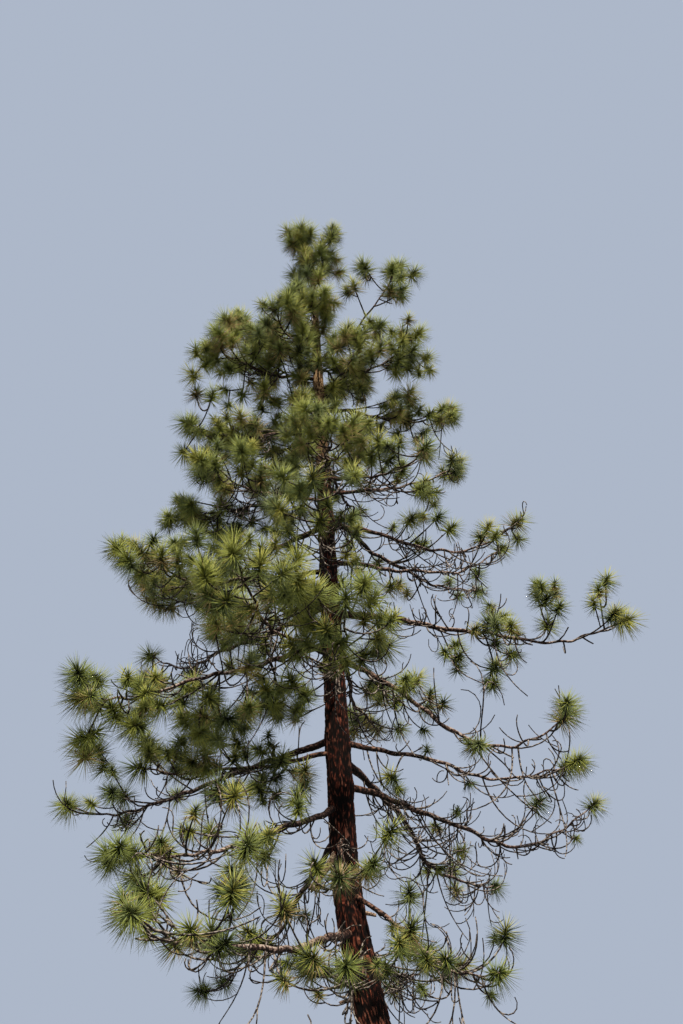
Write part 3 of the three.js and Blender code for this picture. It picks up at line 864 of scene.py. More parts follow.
    def grow_clump(self, x, y, radius):
        """A clump of tufts that shows well, on twigs that branch from the limb nearest to it."""
        rng = np.random.default_rng(x * CLUMP_SEED_STEP + y)
        t = np.linspace(*CLUMP_FROM, CLUMP_STEPS)
        away = [np.hypot(*(in_view(kinked_line(limb, t))[0] - (x, y)).T) for limb in self.limbs]
        nearest, step = np.unravel_index(np.argmin(away), np.shape(away))
        limb = self.limbs[nearest]
        root, start = kinked_line(limb, t[[step, max(0, step - CLUMP_BACK)]])
        depth = in_view(root)[1]
        roots = [(start, limb.index)]
        for _ in range(math.ceil(radius * radius / CLUMP_AREA)):
            for _ in range(CLUMP_TRIES):
                spot = rng.normal(size=2)
                spot = (x, y) + radius * math.sqrt(rng.random()) * spot / np.hypot(*spot)
                centre = from_view(spot, depth + rng.uniform(-CLUMP_DEPTH, CLUMP_DEPTH))
                root, bearer = min(roots, key=lambda root: np.linalg.norm(root[0] - centre))
                line = reaching(root, centre, rng.uniform(*FINE_END_PITCH))
                twig = self.stands_apart(centre) and self.add_leafy(limb, line, bearer, rng)
                if twig:
                    roots += [(point, twig.owner) for point in line[CLUMP_FORKS]]
                    break

    def add_leafy(self, limb, line, bearer, rng, radius=TWIG_RADIUS):
        """Keeps a twig with its tuft where the wood has room for it, past its first stretch."""
        radii = np.full(len(line) - 1, TWIG_TIP_RADIUS)
        if not self.wood_room.is_free(line[1:], radii, bearer, limb.index):
            return None
        self.add_tuft(limb, line[-1], end_way(line), rng.uniform(*TUFT_SIZE))
        return self.add_twig(line, radius)

    def grow_finer_twigs(self, limb):
        """Twigs between those of the solids, each with a tuft and side shoots."""
        rng = np.random.default_rng(FINER_SEED + limb.index)
        crown = smooth(limb.root[2], *CROWN_FROM)
        on_trunk = mix(FINE_FIRST_ON_TRUNK, FINE_FIRST_IN_CROWN, crown)
        first = FINE_FIRST_ON_BOUGH if limb.carried else on_trunk
        spacing = self.shoot_spacing * mix(1, CROWN_SPACING_SHARE, crown)
        count = round(max(FEWEST_SHOOTS, limb.reach * (1 - first) / spacing) * limb.tuft_share)
        for k in range(count):
            for _ in range(FINE_TRIES):
                t = mix(first, FINE_LAST, (k + rng.random()) / count)
                spread = rng.uniform(*FINE_SPREAD) * (1 if k % 2 else -1)
                length = short_limb_share(limb) * rng.uniform(*FINE_LENGTH)
                length += FINE_LENGTH_SHARE * limb.reach * (1 - t) * rng.random()
                line = curling(
                    kinked_line(limb, t),
                    azimuth_of(limb_way(limb, t)) + spread,
                    (rng.uniform(*FINE_PITCH), rng.uniform(*FINE_END_PITCH)),
                    rng.uniform(-FINE_TURN, FINE_TURN),
                    length,
                )
                takes = self.takes_tuft(limb, line[-1])
                twig = takes and self.add_leafy(limb, line, limb.index, rng)
                if twig:
                    self.grow_side_shoots(limb, twig, rng)
                    break

    def grow_side_shoots(self, limb, twig, rng):
        shoots = SIDE_SHOOTS * mix(SPARSE_SIDE_SHOOTS_SHARE, 1, limb.tuft_share)
        for k in range(int(shoots + rng.random())):
            for _ in range(SIDE_SHOOT_TRIES):
                place = rng.uniform(*SIDE_SHOOT_AT) * (len(twig.line) - 1)
                at = int(place)
                turn = rng.uniform(*SIDE_SHOOT_TURN) * (1 if k % 2 else -1)
                line = curling(
                    mix(twig.line[at], twig.line[at + 1], place - at),
                    azimuth_of(twig.line[at + 1] - twig.line[at]) + turn,
                    (rng.uniform(*SIDE_SHOOT_PITCH), rng.uniform(*FINE_END_PITCH)),
                    rng.uniform(-FINE_TURN, FINE_TURN),
                    rng.uniform(*SIDE_SHOOT_LENGTH),
                    SIDE_SHOOT_STEPS,
                )
                takes = self.takes_tuft(limb, line[-1])
                if takes and self.add_leafy(limb, line, twig.owner, rng, TWIG_TIP_RADIUS):
                    break

    def grow_trunk_shoots(self):
        """Short leafy twigs straight from the upper trunk, between the limbs."""
        rng = np.random.default_rng(TRUNK_SHOOT_SEED)
        for z in np.arange(*TRUNK_SHOOT_HEIGHTS):
            limb = min(self.limbs, key=lambda some: abs(some.root[2] - z))
            for _ in range(TRUNK_SHOOT_TRIES):
                line = curling(
                    trunk_axis(z),
                    rng.uniform(0, 360),
                    (rng.uniform(*TRUNK_SHOOT_PITCH), rng.uniform(*FINE_END_PITCH)),
                    rng.uniform(-FINE_TURN, FINE_TURN),
                    rng.uniform(*TRUNK_SHOOT_LENGTH),
                )
                free = self.stands_apart(line[-1]) and self.clears_gaps(line[-1])
                if free and self.add_leafy(limb, line, TRUNK_OWNER, rng):
                    break

    def grow_bare_twigs(self, limb):
        """Thin twigs without needles, most of them under the lower limbs, with a fork or two."""
        rng = np.random.default_rng(BARE_SEED + limb.index)
        share = limb.bare_share * (1 if limb.root[2] < BARE_BELOW else BARE_ABOVE_SHARE)
        for _ in range(round(limb.reach * share / self.bare_spacing)):
            for _ in range(BARE_TRIES):
                t = rng.uniform(*BARE_AT)
                length = mix(*BARE_LENGTH, rng.random() ** BARE_LENGTH_SKEW)
                length *= min(1, limb.reach / FULL_TWIG_REACH)
                pitch = rng.uniform(*BARE_PITCH)
                line = curling(
                    kinked_line(limb, t),
                    azimuth_of(limb_way(limb, t)) + rng.uniform(-BARE_SPREAD, BARE_SPREAD),
                    (pitch, pitch + rng.uniform(*BARE_CURL)),
                    rng.uniform(-BARE_TURN, BARE_TURN),
                    length,
                    BARE_STEPS,
                )
                if self.add_bare(limb, line, BARE_RADII):
                    self.add_forks(limb, line, length, rng)
                    if rng.random() < SMALL_TUFT_CHANCE and self.takes_tuft(limb, line[-1]):
                        self.add_tuft(limb, line[-1], end_way(line), SMALL_TUFT)
                    break

    def add_forks(self, limb, line, length, rng):
        for _ in range(BARE_FORKS + (length > TWO_FORKS_FROM)):
            at = rng.integers(2, len(line) - 2)
            forward = unit(line[at + 1] - line[at])
            pitch = math.degrees(math.asin(forward[2])) + rng.uniform(-FORK_TURN, FORK_TURN)
            fork = curling(
                line[at],
                azimuth_of(forward) + rng.uniform(-FORK_TURN, FORK_TURN),
                (pitch, pitch + rng.uniform(*BARE_CURL)),
                rng.uniform(-BARE_TURN, BARE_TURN),
                rng.uniform(*FORK_SHARE) * length,
                FORK_STEPS,
            )
            self.add_bare(limb, fork, (BARE_RADII[0] * FORK_THICKNESS, BARE_RADII[1]))

    def add_bare(self, limb, line, radii):
        """Keeps a bare twig that stays in the reach of the limb's tufts and clear of the wood."""
        low = np.minimum(limb.box[0], limb.root) - BARE_HANG * UP
        high = np.maximum(limb.box[1], limb.root)
        if (line < low).any() or (line > high).any() or (line[:, 2] < LOWEST).any():
            return False
        if not self.clears_gaps(line, WIDE_GAPS):
            return False
        thickness = np.linspace(*radii, len(line))
        free = self.wood_room.is_free(line[2:], thickness[2:], limb.index)
        if free:
            self.bare_twigs.append((line, thickness))
        return free


GROWN = {}


def growth(settings):
    """The grown tree, made once for all the pieces."""
    if "tree" not in GROWN:
        GROWN["tree"] = Growth(settings.shoot_spacing / MM, settings.bare_spacing / MM)
    return GROWN["tree"]


# Noise for relief


def cloth_of_noise(u, v, turns, seed):
    """Smooth noise from 0 to 1 over u and v, which closes on itself after that many steps of u."""
    rng = np.random.default_rng(seed)
    column, row = np.floor(u).astype(int), np.floor(v).astype(int)
    values = rng.random((turns, row.max() + 2))
    fu, fv = smooth(u - column, 0, 1), smooth(v - row, 0, 1)
    left, right = column % turns, (column + 1) % turns
    low = mix(values[left, row], values[right, row], fu)
    high = mix(values[left, row + 1], values[right, row + 1], fu)
    return mix(low, high, fv)


def plates(u, v, turns, seed):
    """How far each point lies inside its bark plate, and a tone that each plate has of its own."""
    rng = np.random.default_rng(seed)
    column, row = np.floor(u).astype(int), np.floor(v).astype(int)
    rows = row.max() + 3
    jitter = PLATE_JITTER_FROM + PLATE_JITTER * rng.random((turns, rows, 2))
    tones = rng.random((turns, rows))
    nearest = np.full(u.shape, math.inf)
    second = nearest.copy()
    tone = np.zeros(u.shape)
    for du in (-1, 0, 1):
        for dv in (-1, 0, 1):
            c, r = (column + du) % turns, row + dv + 1
            across = column + du + jitter[c, r, 0] - u
            along = row + dv + jitter[c, r, 1] - v
            apart = np.hypot(across, along)
            closer = apart < nearest
            second = np.where(closer, nearest, np.minimum(second, apart))
            tone = np.where(closer, tones[c, r], tone)
            nearest = np.where(closer, apart, nearest)
    return second - nearest, tone


# Meshes


def skin(rings):
    """Points and faces of a closed skin over rings that run round their way of travel."""
    count, sides = rings.shape[:2]
    a = np.arange(count - 1)[:, None] * sides + np.arange(sides)
    b = np.arange(count - 1)[:, None] * sides + (np.arange(sides) + 1) % sides
    quads = np.stack([a, b, b + sides, a + sides], -1).reshape(-1, 4).tolist()
    last = (count - 1) * sides
    caps = [list(range(sides))[::-1], list(range(last, last + sides))]
    return rings.reshape(-1, 3), quads + caps


def joined(skins):
    """Several skins as one list of points and faces."""
    points, faces, start = [], [], 0
    for some_points, some_faces in skins:
        points.append(some_points)
        faces += [[start + i for i in face] for face in some_faces]
        start += len(some_points)
    return np.concatenate(points), faces


def rings_along(line, radii, sides):
    """Round rings square to a line, each turned as little as it can be from the one before."""
    ways = unit(np.gradient(line, axis=0))
    nearly_upright = np.linalg.norm(np.cross(ways[0], UP)) < 0.2
    side = np.cross(ways[0], [1.0, 0.0, 0.0] if nearly_upright else UP)
    angles = np.arange(sides) / sides * TAU
    rings = np.zeros((len(line), sides, 3))
    for k, way in enumerate(ways):
        side = unit(side - way * (side @ way))
        across = np.cross(way, side)
        around = np.outer(np.cos(angles), side) + np.outer(np.sin(angles), across)
        rings[k] = line[k] + around * radii[k][:, None]
    return rings


def add_object(name, data):
    thing = bpy.data.objects.new(name, data)
    bpy.context.scene.collection.objects.link(thing)
    return thing


def mark(mesh, attributes):
    """Gives the mesh's points their named values."""
    for key, values in attributes.items():
        mesh.attributes.new(key, "FLOAT", "POINT").data.foreach_set("value", np.ravel(values))


def add_piece(name, skinned, material, slot, nodes, attributes):
    """A finished piece of the tree, in place of the solids that it stands for."""
    points, faces = skinned
    mesh = bpy.data.meshes.new(name)
    mesh.from_pydata((points * MM).tolist(), [], faces)
    mesh.validate()
    mesh.materials.append(material)
    mark(mesh, attributes)
    place(name, mesh, slot, nodes)


def place(name, mesh, slot, nodes):
    mesh.shade_smooth()
    piece = add_object(name, mesh)
    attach(piece, "root")
    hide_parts(*nodes)


# Nodes


def linear(colour):
    """A hex colour as the linear red, green and blue that Blender works in."""
    shares = [int(colour[i : i + 2], 16) / 255 for i in (1, 3, 5)]
    return tuple(c / 12.92 if c <= 0.04045 else ((c + 0.055) / 1.055) ** 2.4 for c in shares)


def add(tree, kind, inputs=None, out=0, stops=(), **settings):
    """Adds a node with its settings, sets or links its inputs, and gives back one output. A
    colour ramp's stops rise, and each is a place and a hex colour."""
    node = tree.nodes.new(kind)
    for key, value in settings.items():
        setattr(node, key, value)
    for index, (position, colour) in enumerate(stops):
        elements = node.color_ramp.elements
        stop = elements[index] if index < 2 else elements.new(position)
        stop.position = position
        stop.color = (*linear(colour), 1)
    for key, value in (inputs or {}).items():
        if isinstance(value, bpy.types.NodeSocket):
            tree.links.new(value, node.inputs[key])
        else:
            node.inputs[key].default_value = value
    return node.outputs[out] if node.outputs else None


def new_material(name):
    material = bpy.data.materials.new(name)
    material.use_nodes = True
    material.node_tree.nodes.clear()
    return material, material.node_tree


def plated_bark(settings):
    """Thick plated pine bark: dark fissures between red-brown plates that weather paler, and
    thinner tan scales on the upper trunk. Painted shade darkens the lower trunk, most in its
    fissures, and patches of painted shade and light dapple it all."""
    material, tree = new_material("plated_pine_bark")
    place_of = add(tree, "ShaderNodeTexCoord", out="Object")
    height = add(tree, "ShaderNodeSeparateXYZ", {"Vector": place_of}, out="Z")
    relief = add(tree, "ShaderNodeAttribute", out="Fac", attribute_name="relief")
    tone = add(tree, "ShaderNodeAttribute", out="Fac", attribute_name="tone")
    # Red-brown plates and dark fissures of the lower trunk, darkened as well by painted shade, deepest
    # in the fissures
    lower = add(
        tree, "ShaderNodeValToRGB", {"Fac": relief},
        stops=[(0.0, "#040202"), (0.5, "#150806"), (0.78, "#411d14"), (1.0, "#8e4f3b")],
    )
    upper = add(
        tree, "ShaderNodeValToRGB", {"Fac": relief},
        stops=[(0.0, "#22180f"), (0.3, "#584330"), (0.65, "#94795a"), (1.0, "#b8a482")],
    )
    stands = add(tree, "ShaderNodeMath", {0: tone, 1: relief}, operation="MULTIPLY")
    worn = add(
        tree, "ShaderNodeMapRange", {"Value": stands, "From Min": 0.4, "From Max": 0.85, "To Max": 0.7}
    )
    weathered = add(
        tree, "ShaderNodeMix", {"Factor": worn, 6: lower, 7: (*settings.plate_colour, 1)},
        out=2, data_type="RGBA",
    )
    # Scales about 9 mm across, and patches of painted shade and light about 260 mm across
    scales = add(tree, "ShaderNodeTexNoise", {"Vector": place_of, "Scale": 1 / 0.009, "Detail": 3.0})
    painted_dapple = add(tree, "ShaderNodeTexNoise", {"Vector": place_of, "Scale": 1 / 0.26, "Detail": 2.0})
    # The plates give way to scales between these heights, in metres
    rising = add(tree, "ShaderNodeMapRange", {"Value": height, "From Min": 7.2, "From Max": 9.0})
    body = add(
        tree, "ShaderNodeMix", {"Factor": rising, 6: weathered, 7: upper}, out=2, data_type="RGBA"
    )
    scales_and_painted_dapple = add(tree, "ShaderNodeMath", {0: scales, 1: painted_dapple}, operation="ADD")
    shade = add(
        tree, "ShaderNodeMapRange",
        {"Value": scales_and_painted_dapple, "From Min": 0.7, "From Max": 1.3, "To Min": 0.3, "To Max": 1.4},
    )
    coloured = add(
        tree, "ShaderNodeMix", {"Factor": 1.0, 6: body, 7: shade},
        out=2, data_type="RGBA", blend_type="MULTIPLY",
    )
    bump = add(tree, "ShaderNodeBump", {"Height": scales, "Strength": 0.6, "Distance": 0.004})
    shader = add(
        tree, "ShaderNodeBsdfPrincipled",
        {"Base Color": coloured, "Roughness": 0.95, "Specular IOR Level": 0.12, "Normal": bump},
    )
    add(tree, "ShaderNodeOutputMaterial", {"Surface": shader})
    return material


def limb_bark(name, dark, middle, pale, flake, near_trunk=None):
    """Flaky grey-brown bark, mottled by its flakes: painted shade darkens it beneath and painted
    light makes it pale on top. It is red-brown near the trunk where a colour is given for it.
    Its flakes are that many metres across."""
    material, tree = new_material(name)
    place_of = add(tree, "ShaderNodeTexCoord", out="Object")
    flakes = add(tree, "ShaderNodeTexNoise", {"Vector": place_of, "Scale": 1 / flake, "Detail": 3.0})
    # Painted light and shade: bark that faces up is painted paler, and bark that faces down darker
    normal = add(tree, "ShaderNodeNewGeometry", out="Normal")
    facing = add(tree, "ShaderNodeSeparateXYZ", {"Vector": normal}, out="Z")
    painted_light_from_above = add(
        tree, "ShaderNodeMapRange",
        {"Value": facing, "From Min": -0.7, "From Max": 0.9, "To Min": -0.4, "To Max": 0.38},
    )
    worn = add(tree, "ShaderNodeMapRange", {"Value": flakes, "From Min": 0.34, "From Max": 0.66})
    wear_and_painted_light = add(tree, "ShaderNodeMath", {0: worn, 1: painted_light_from_above}, operation="ADD")
    colour = add(
        tree, "ShaderNodeValToRGB", {"Fac": wear_and_painted_light},
        stops=[(0.2, dark), (0.55, middle), (1.0, pale)],
    )
    if near_trunk:
        outer = add(tree, "ShaderNodeAttribute", out="Fac", attribute_name="outer")
        weathered = add(
            tree, "ShaderNodeMapRange",
            {"Value": outer, "From Min": 0.2, "From Max": 1.3, "To Min": 0.1},
        )
        red = add(
            tree, "ShaderNodeValToRGB", {"Fac": wear_and_painted_light},
            stops=[(0.25, "#080403"), (0.7, near_trunk), (1.0, "#63402f")],
        )
        colour = add(
            tree, "ShaderNodeMix", {"Factor": weathered, 6: red, 7: colour}, out=2, data_type="RGBA"
        )
    bump = add(tree, "ShaderNodeBump", {"Height": flakes, "Strength": 0.9, "Distance": 0.006})
    shader = add(
        tree, "ShaderNodeBsdfPrincipled",
        {"Base Color": colour, "Roughness": 0.9, "Specular IOR Level": 0.2, "Normal": bump},
    )
    add(tree, "ShaderNodeOutputMaterial", {"Surface": shader})
    return material


def needle_wax(name, colour):
    """Waxy needles in one base colour, with the low gloss that picks out those in the light."""
    material, tree = new_material(name)
    shader = add(
        tree, "ShaderNodeBsdfPrincipled",
        {"Base Color": (*linear(colour), 1), "Roughness": 0.55, "Specular IOR Level": 0.35},
    )
    add(tree, "ShaderNodeOutputMaterial", {"Surface": shader})
    return material


def matt_paint(name, colour):
    """Matt paint in one colour, for the floor."""
    material, tree = new_material(name)
    shader = add(tree, "ShaderNodeBsdfPrincipled", {"Base Color": (*colour, 1), "Roughness": 0.95})
    add(tree, "ShaderNodeOutputMaterial", {"Surface": shader})
    return material


# Geometry node trees


def node_tree(name, sockets):
    """A tree with inputs of these names and kinds besides its lines, and one geometry output."""
    tree = bpy.data.node_groups.new(name, "GeometryNodeTree")
    tree.interface.new_socket("Geometry", in_out="OUTPUT", socket_type="NodeSocketGeometry")
    for label, kind in {"Lines": "NodeSocketGeometry", **sockets}.items():
        tree.interface.new_socket(label, in_out="INPUT", socket_type=kind)
    return tree, add(tree, "NodeGroupInput").node.outputs


def twig_tree():
    """Lines turned into closed tapering twigs, as thick as each point says."""
    tree, given = node_tree("tapering_twigs", {"Sides": "NodeSocketInt", "Bark": "NodeSocketMaterial"})
    lines = add(tree, "GeometryNodeMeshToCurve", {"Mesh": given["Lines"]})
    thick = add(tree, "GeometryNodeInputNamedAttribute", {"Name": "thickness"}, data_type="FLOAT")
    section = add(
        tree, "GeometryNodeCurvePrimitiveCircle", {"Resolution": given["Sides"], "Radius": 1.0}
    )
    wood = add(
        tree, "GeometryNodeCurveToMesh",
        {"Curve": lines, "Profile Curve": section, "Scale": thick, "Fill Caps": True},
    )
    wood = add(tree, "GeometryNodeRealizeInstances", {"Geometry": wood})
    wood = add(tree, "GeometryNodeSetMaterial", {"Geometry": wood, "Material": given["Bark"]})
    add(tree, "NodeGroupOutput", {"Geometry": wood})
    return tree


def needle_tree():
    """Needles set round each shoot along its whole length, each leaning from the shoot as far
    as the cosine that its point carries says."""
    measures = dict.fromkeys(["Spacing", "Length", "Width", "Droop"], "NodeSocketFloat")
    tree, given = node_tree(
        "needles_on_shoots", {**measures, "Seed": "NodeSocketInt", "Wax": "NodeSocketMaterial"}
    )
    shoots = add(tree, "GeometryNodeMeshToCurve", {"Mesh": given["Lines"]})
    shoots = add(
        tree, "GeometryNodeResampleCurve", {"Curve": shoots, "Length": given["Spacing"]}, mode="LENGTH"
    )
    size, cosine, along = [
        add(tree, "GeometryNodeInputNamedAttribute", {"Name": name}, data_type="FLOAT")
        for name in ("size", "cosine", "along")
    ]
    chances = []
    for salt, (least, most) in enumerate([LEAN_CHANCE, TURN_CHANCE, LENGTH_CHANCE], 1):
        seed = add(tree, "ShaderNodeMath", {0: given["Seed"], 1: salt}, operation="ADD")
        inputs = {2: least, 3: most, "Seed": seed}
        chances.append(add(tree, "FunctionNodeRandomValue", inputs, out=1, data_type="FLOAT"))

    # One needle: a slim point a unit long, which keeps how far along it is
    needle = add(
        tree, "GeometryNodeMeshCone",
        {"Vertices": 3, "Radius Top": 0.0, "Radius Bottom": 0.5, "Depth": 1.0}, fill_type="NGON",
    )
    position = add(tree, "GeometryNodeInputPosition")
    up_it = add(tree, "ShaderNodeSeparateXYZ", {"Vector": position}, out="Z")
    needle = add(
        tree, "GeometryNodeStoreNamedAttribute",
        {"Geometry": needle, "Name": "along", "Value": up_it}, data_type="FLOAT",
    )

    # Each needle leans from the shoot and stands a golden angle further round it than the last
    lean = add(tree, "ShaderNodeMath", {0: cosine}, operation="ARCCOSINE")
    lean = add(tree, "ShaderNodeMath", {0: lean, 1: chances[0]}, operation="ADD")
    index = add(tree, "GeometryNodeInputIndex")
    turn = add(tree, "ShaderNodeMath", {0: index, 1: GOLDEN_ANGLE}, operation="MULTIPLY")
    turn = add(tree, "ShaderNodeMath", {0: turn, 1: chances[1]}, operation="ADD")
    turned = add(tree, "ShaderNodeCombineXYZ", {"X": lean, "Z": turn})
    turned = add(tree, "FunctionNodeEulerToRotation", {"Euler": turned})
    ahead = add(tree, "GeometryNodeInputTangent")
    ahead = add(tree, "FunctionNodeAlignRotationToVector", {"Vector": ahead}, axis="Z")
    rotation = add(tree, "FunctionNodeRotateRotation", {0: ahead, 1: turned}, rotation_space="LOCAL")
    length = add(tree, "ShaderNodeMath", {0: given["Length"], 1: size}, operation="MULTIPLY")
    length = add(tree, "ShaderNodeMath", {0: length, 1: chances[2]}, operation="MULTIPLY")
    width = given["Width"]
    scale = add(tree, "ShaderNodeCombineXYZ", {"X": width, "Y": width, "Z": length})
    needles = add(
        tree, "GeometryNodeInstanceOnPoints",
        {"Points": shoots, "Instance": needle, "Rotation": rotation, "Scale": scale},
    )
    needles = add(tree, "GeometryNodeRealizeInstances", {"Geometry": needles})

    # The needle's own weight bends it down, most at its tip
    bend = add(tree, "ShaderNodeMath", {0: along, 1: 2.0}, operation="POWER")
    down = add(tree, "ShaderNodeMath", {0: given["Droop"], 1: -1.0}, operation="MULTIPLY")
    fall = add(tree, "ShaderNodeMath", {0: bend, 1: down}, operation="MULTIPLY")
    offset = add(tree, "ShaderNodeCombineXYZ", {"Z": fall})
    needles = add(tree, "GeometryNodeSetPosition", {"Geometry": needles, "Offset": offset})
    needles = add(tree, "GeometryNodeSetMaterial", {"Geometry": needles, "Material": given["Wax"]})
    add(tree, "NodeGroupOutput", {"Geometry": needles})
    return tree


def grown_piece(name, lines, attributes, tree, values, slot):
    """Runs a tree on lines, whose points carry named values, and keeps the result as a plain
    mesh in place of the masses."""
    edges, start = [], 0
    for line in lines:
        edges += [(start + i, start + i + 1) for i in range(len(line) - 1)]
        start += len(line)
    mesh = bpy.data.meshes.new(name + "_lines")
    mesh.from_pydata((np.concatenate(lines) * MM).tolist(), edges, [])
    mark(mesh, attributes)
    source = add_object(name + "_lines", mesh)
    modifier = source.modifiers.new("grow", "NODES")
    modifier.node_group = tree
    for item in tree.interface.items_tree:
        if item.in_out == "INPUT" and item.name in values:
            modifier[item.identifier] = values[item.name]
    source.update_tag()
    evaluated = source.evaluated_get(bpy.context.evaluated_depsgraph_get())
    mesh = bpy.data.meshes.new_from_object(evaluated)
    bpy.data.objects.remove(source)
    for left in ("along", *attributes):
        if left in mesh.attributes:
            mesh.attributes.remove(mesh.attributes[left])
    mesh.name = name
    place(name, mesh, slot, FOLIAGE_NODES)


# Settings


class PineSettings(PropertyGroup):
    plate_relief: FloatProperty(
        name="Plate Relief", default=0.02, min=0.0, max=0.05, unit="LENGTH",
        description="Depth of the fissures between the bark plates at the foot",
    )
    plate_height: FloatProperty(
        name="Plate Height", default=0.12, min=0.05, max=0.5, unit="LENGTH",
        description="Height of a bark plate at the foot",
    )
    plate_colour: FloatVectorProperty(
        name="Weathered Plates", default=linear("#7a5040"), min=0.0, max=1.0, subtype="COLOR",
        description="Colour of the palest plates on the lower trunk",
    )
    shoot_spacing: FloatProperty(
        name="Shoot Spacing", default=SHOOT_SPACING * MM, min=0.05, max=1.0, unit="LENGTH",
        description="Way along a limb from one leafy twig to the next",
    )
    bare_spacing: FloatProperty(
        name="Bare Twig Spacing", default=BARE_SPACING * MM, min=0.05, max=1.0, unit="LENGTH",
        description="Way along a low limb from one bare twig to the next",
    )
    twig_sides: IntProperty(
        name="Twig Sides", default=5, min=3, max=12,
        description="Sides of a twig's section",
    )
    needle_spacing: FloatProperty(
        name="Needle Spacing", default=0.0015, min=0.0002, max=0.01, unit="LENGTH",
        description="Way along a shoot from one needle to the next, each for several real ones",
    )
    needle_length: FloatProperty(
        name="Needle Length", default=0.295, min=0.05, max=0.4, unit="LENGTH",
        description="Length of the longest needles",
    )
    needle_width: FloatProperty(
        name="Needle Width", default=0.0088, min=0.001, max=0.02, unit="LENGTH",
        description="Width of a needle at its root, wider than life as it stands for several",
    )
    needle_droop: FloatProperty(
        name="Needle Droop", default=0.035, min=0.0, max=0.2, unit="LENGTH",
        description="How far a needle's tip hangs down",
    )
    floor_colour: FloatVectorProperty(
        name="Floor", default=linear("#959492"), min=0.0, max=1.0, subtype="COLOR",
        description="Colour of the floor",
    )
    light_strength: FloatProperty(
        name="Key Light", default=6.7, min=0.0, max=20.0,
        description="Strength of the key light",
    )


# Skins of the trunk and limbs


def trunk_rings(grown, relief_depth, plate_height):
    """The trunk's rings with their relief, and how far each point stands out of its fissure."""
    share = np.linspace(0, 1, TRUNK_LEVELS) ** LEVEL_SKEW
    z = np.repeat((TRUNK_TOP * share)[:, None], TRUNK_AROUND, 1)
    angle = np.repeat((np.arange(TRUNK_AROUND) / TRUNK_AROUND * TAU)[None], TRUNK_LEVELS, 0)
    # Plates are counted round and up the trunk, and are shorter the higher they are
    around = PLATES_AROUND
    shrink = (plate_height - TOP_PLATE_HEIGHT) / TRUNK_TOP
    v = 1 - np.log(1 - shrink * z / plate_height) / shrink
    u = angle / TAU * around

    def noise(steps, rise, seed, first):
        return cloth_of_noise(u * steps % (steps * around), v * rise + first, steps * around, seed)

    u = u + WANDER_ROUND * (noise(*ROUND_NOISE) - 0.5)
    v = v + WANDER_UP * (noise(*UP_NOISE) - 0.5)
    inside, tone = plates(u, np.maximum(v, 0), around, PLATE_SEED)
    stands = smooth(inside + RAGGED * (noise(*RAGGED_NOISE) - 0.5), 0, STAND_OUT_BY)
    relief = stands * mix(SMOOTH_SHARE, 1, noise(*FLAKE_NOISE))
    flare = np.exp(-z / FLARE_HEIGHT)
    lobe = 1 + LOBE_DEPTH * flare * np.cos(FLARE_LOBES * angle)
    depth = relief_depth * mix(1, TOP_RELIEF_SHARE, np.clip(z / TOP_RELIEF_FROM, 0, 1))
    radius = (trunk_radius(z) + FLARE * flare) * lobe + depth * (relief - RELIEF_MIDDLE)
    for limb in grown.limbs:
        radius = radius + root_swell(limb, z, angle)
    return trunk_axis(z) + radius[..., None] * bearing(np.degrees(angle)), relief, tone


def root_swell(limb, z, angle):
    """How far the trunk swells round the root of a limb."""
    width = SWELL_WIDTH * limb.root_radius * (1 + COLLAR)
    height = limb.root[2] + trunk_radius(limb.root[2]) * limb.climb / limb.reach
    across = np.angle(np.exp(1j * (angle - math.radians(limb.azimuth)))) * trunk_radius(z)
    apart = np.hypot(across, (z - height) * SWELL_TALLER) / width
    return ROOT_SWELL * limb.root_radius * np.exp(-apart * apart)


def stub_rings(stub, seed):
    """A broken limb: ridged wood that tapers to a jagged end."""
    height, azimuth, length, radius, pitch = stub
    way = bearing(azimuth, pitch)
    surface = trunk_radius(height) / math.cos(math.radians(pitch))
    s = np.linspace(0, 1, STUB_RINGS)
    line = trunk_axis(height) + np.outer(mix(STUB_START * surface, surface + length, s), way)
    u, v = np.meshgrid(np.arange(STUB_SIDES) / 2, s * STUB_RIDGES)
    ridges = cloth_of_noise(u, v, STUB_SIDES // 2, seed)
    radii = mix(radius, radius * STUB_TAPER, s)[:, None] * (STUB_THINNEST + STUB_RIDGE_DEPTH * ridges)
    rings = rings_along(line, radii, STUB_SIDES)
    jagged = np.random.default_rng(seed).random(STUB_SIDES) * radius * STUB_JAGGED
    rings[-1] -= jagged[:, None] * way
    rings[-2] -= 0.5 * jagged[:, None] * way
    return rings


def limb_rings(limb, sides):
    """A limb's rings from just inside the trunk to its tip, rough with flakes and old scars."""
    start = LIMB_START * trunk_radius(limb.root[2]) / limb.reach
    t = np.linspace(start, 1, max(FEWEST_RINGS, round(limb.reach / LIMB_RING)))
    u, v = np.meshgrid(np.arange(sides) / 2, t * limb.reach / FLAKE)
    flakes = cloth_of_noise(u, v, sides // 2, FLAKE_SEED + limb.index)
    scars = cloth_of_noise(u, v / FLAKES_PER_SCAR, sides // 2, SCAR_SEED + limb.index)
    rough = 1 + FLAKE_DEPTH * (flakes - 0.5) + SCAR_DEPTH * (scars - 0.5)
    radii = limb_radius(limb, t)[:, None] * rough
    return t, rings_along(kinked_line(limb, t), radii, sides)


# Operators


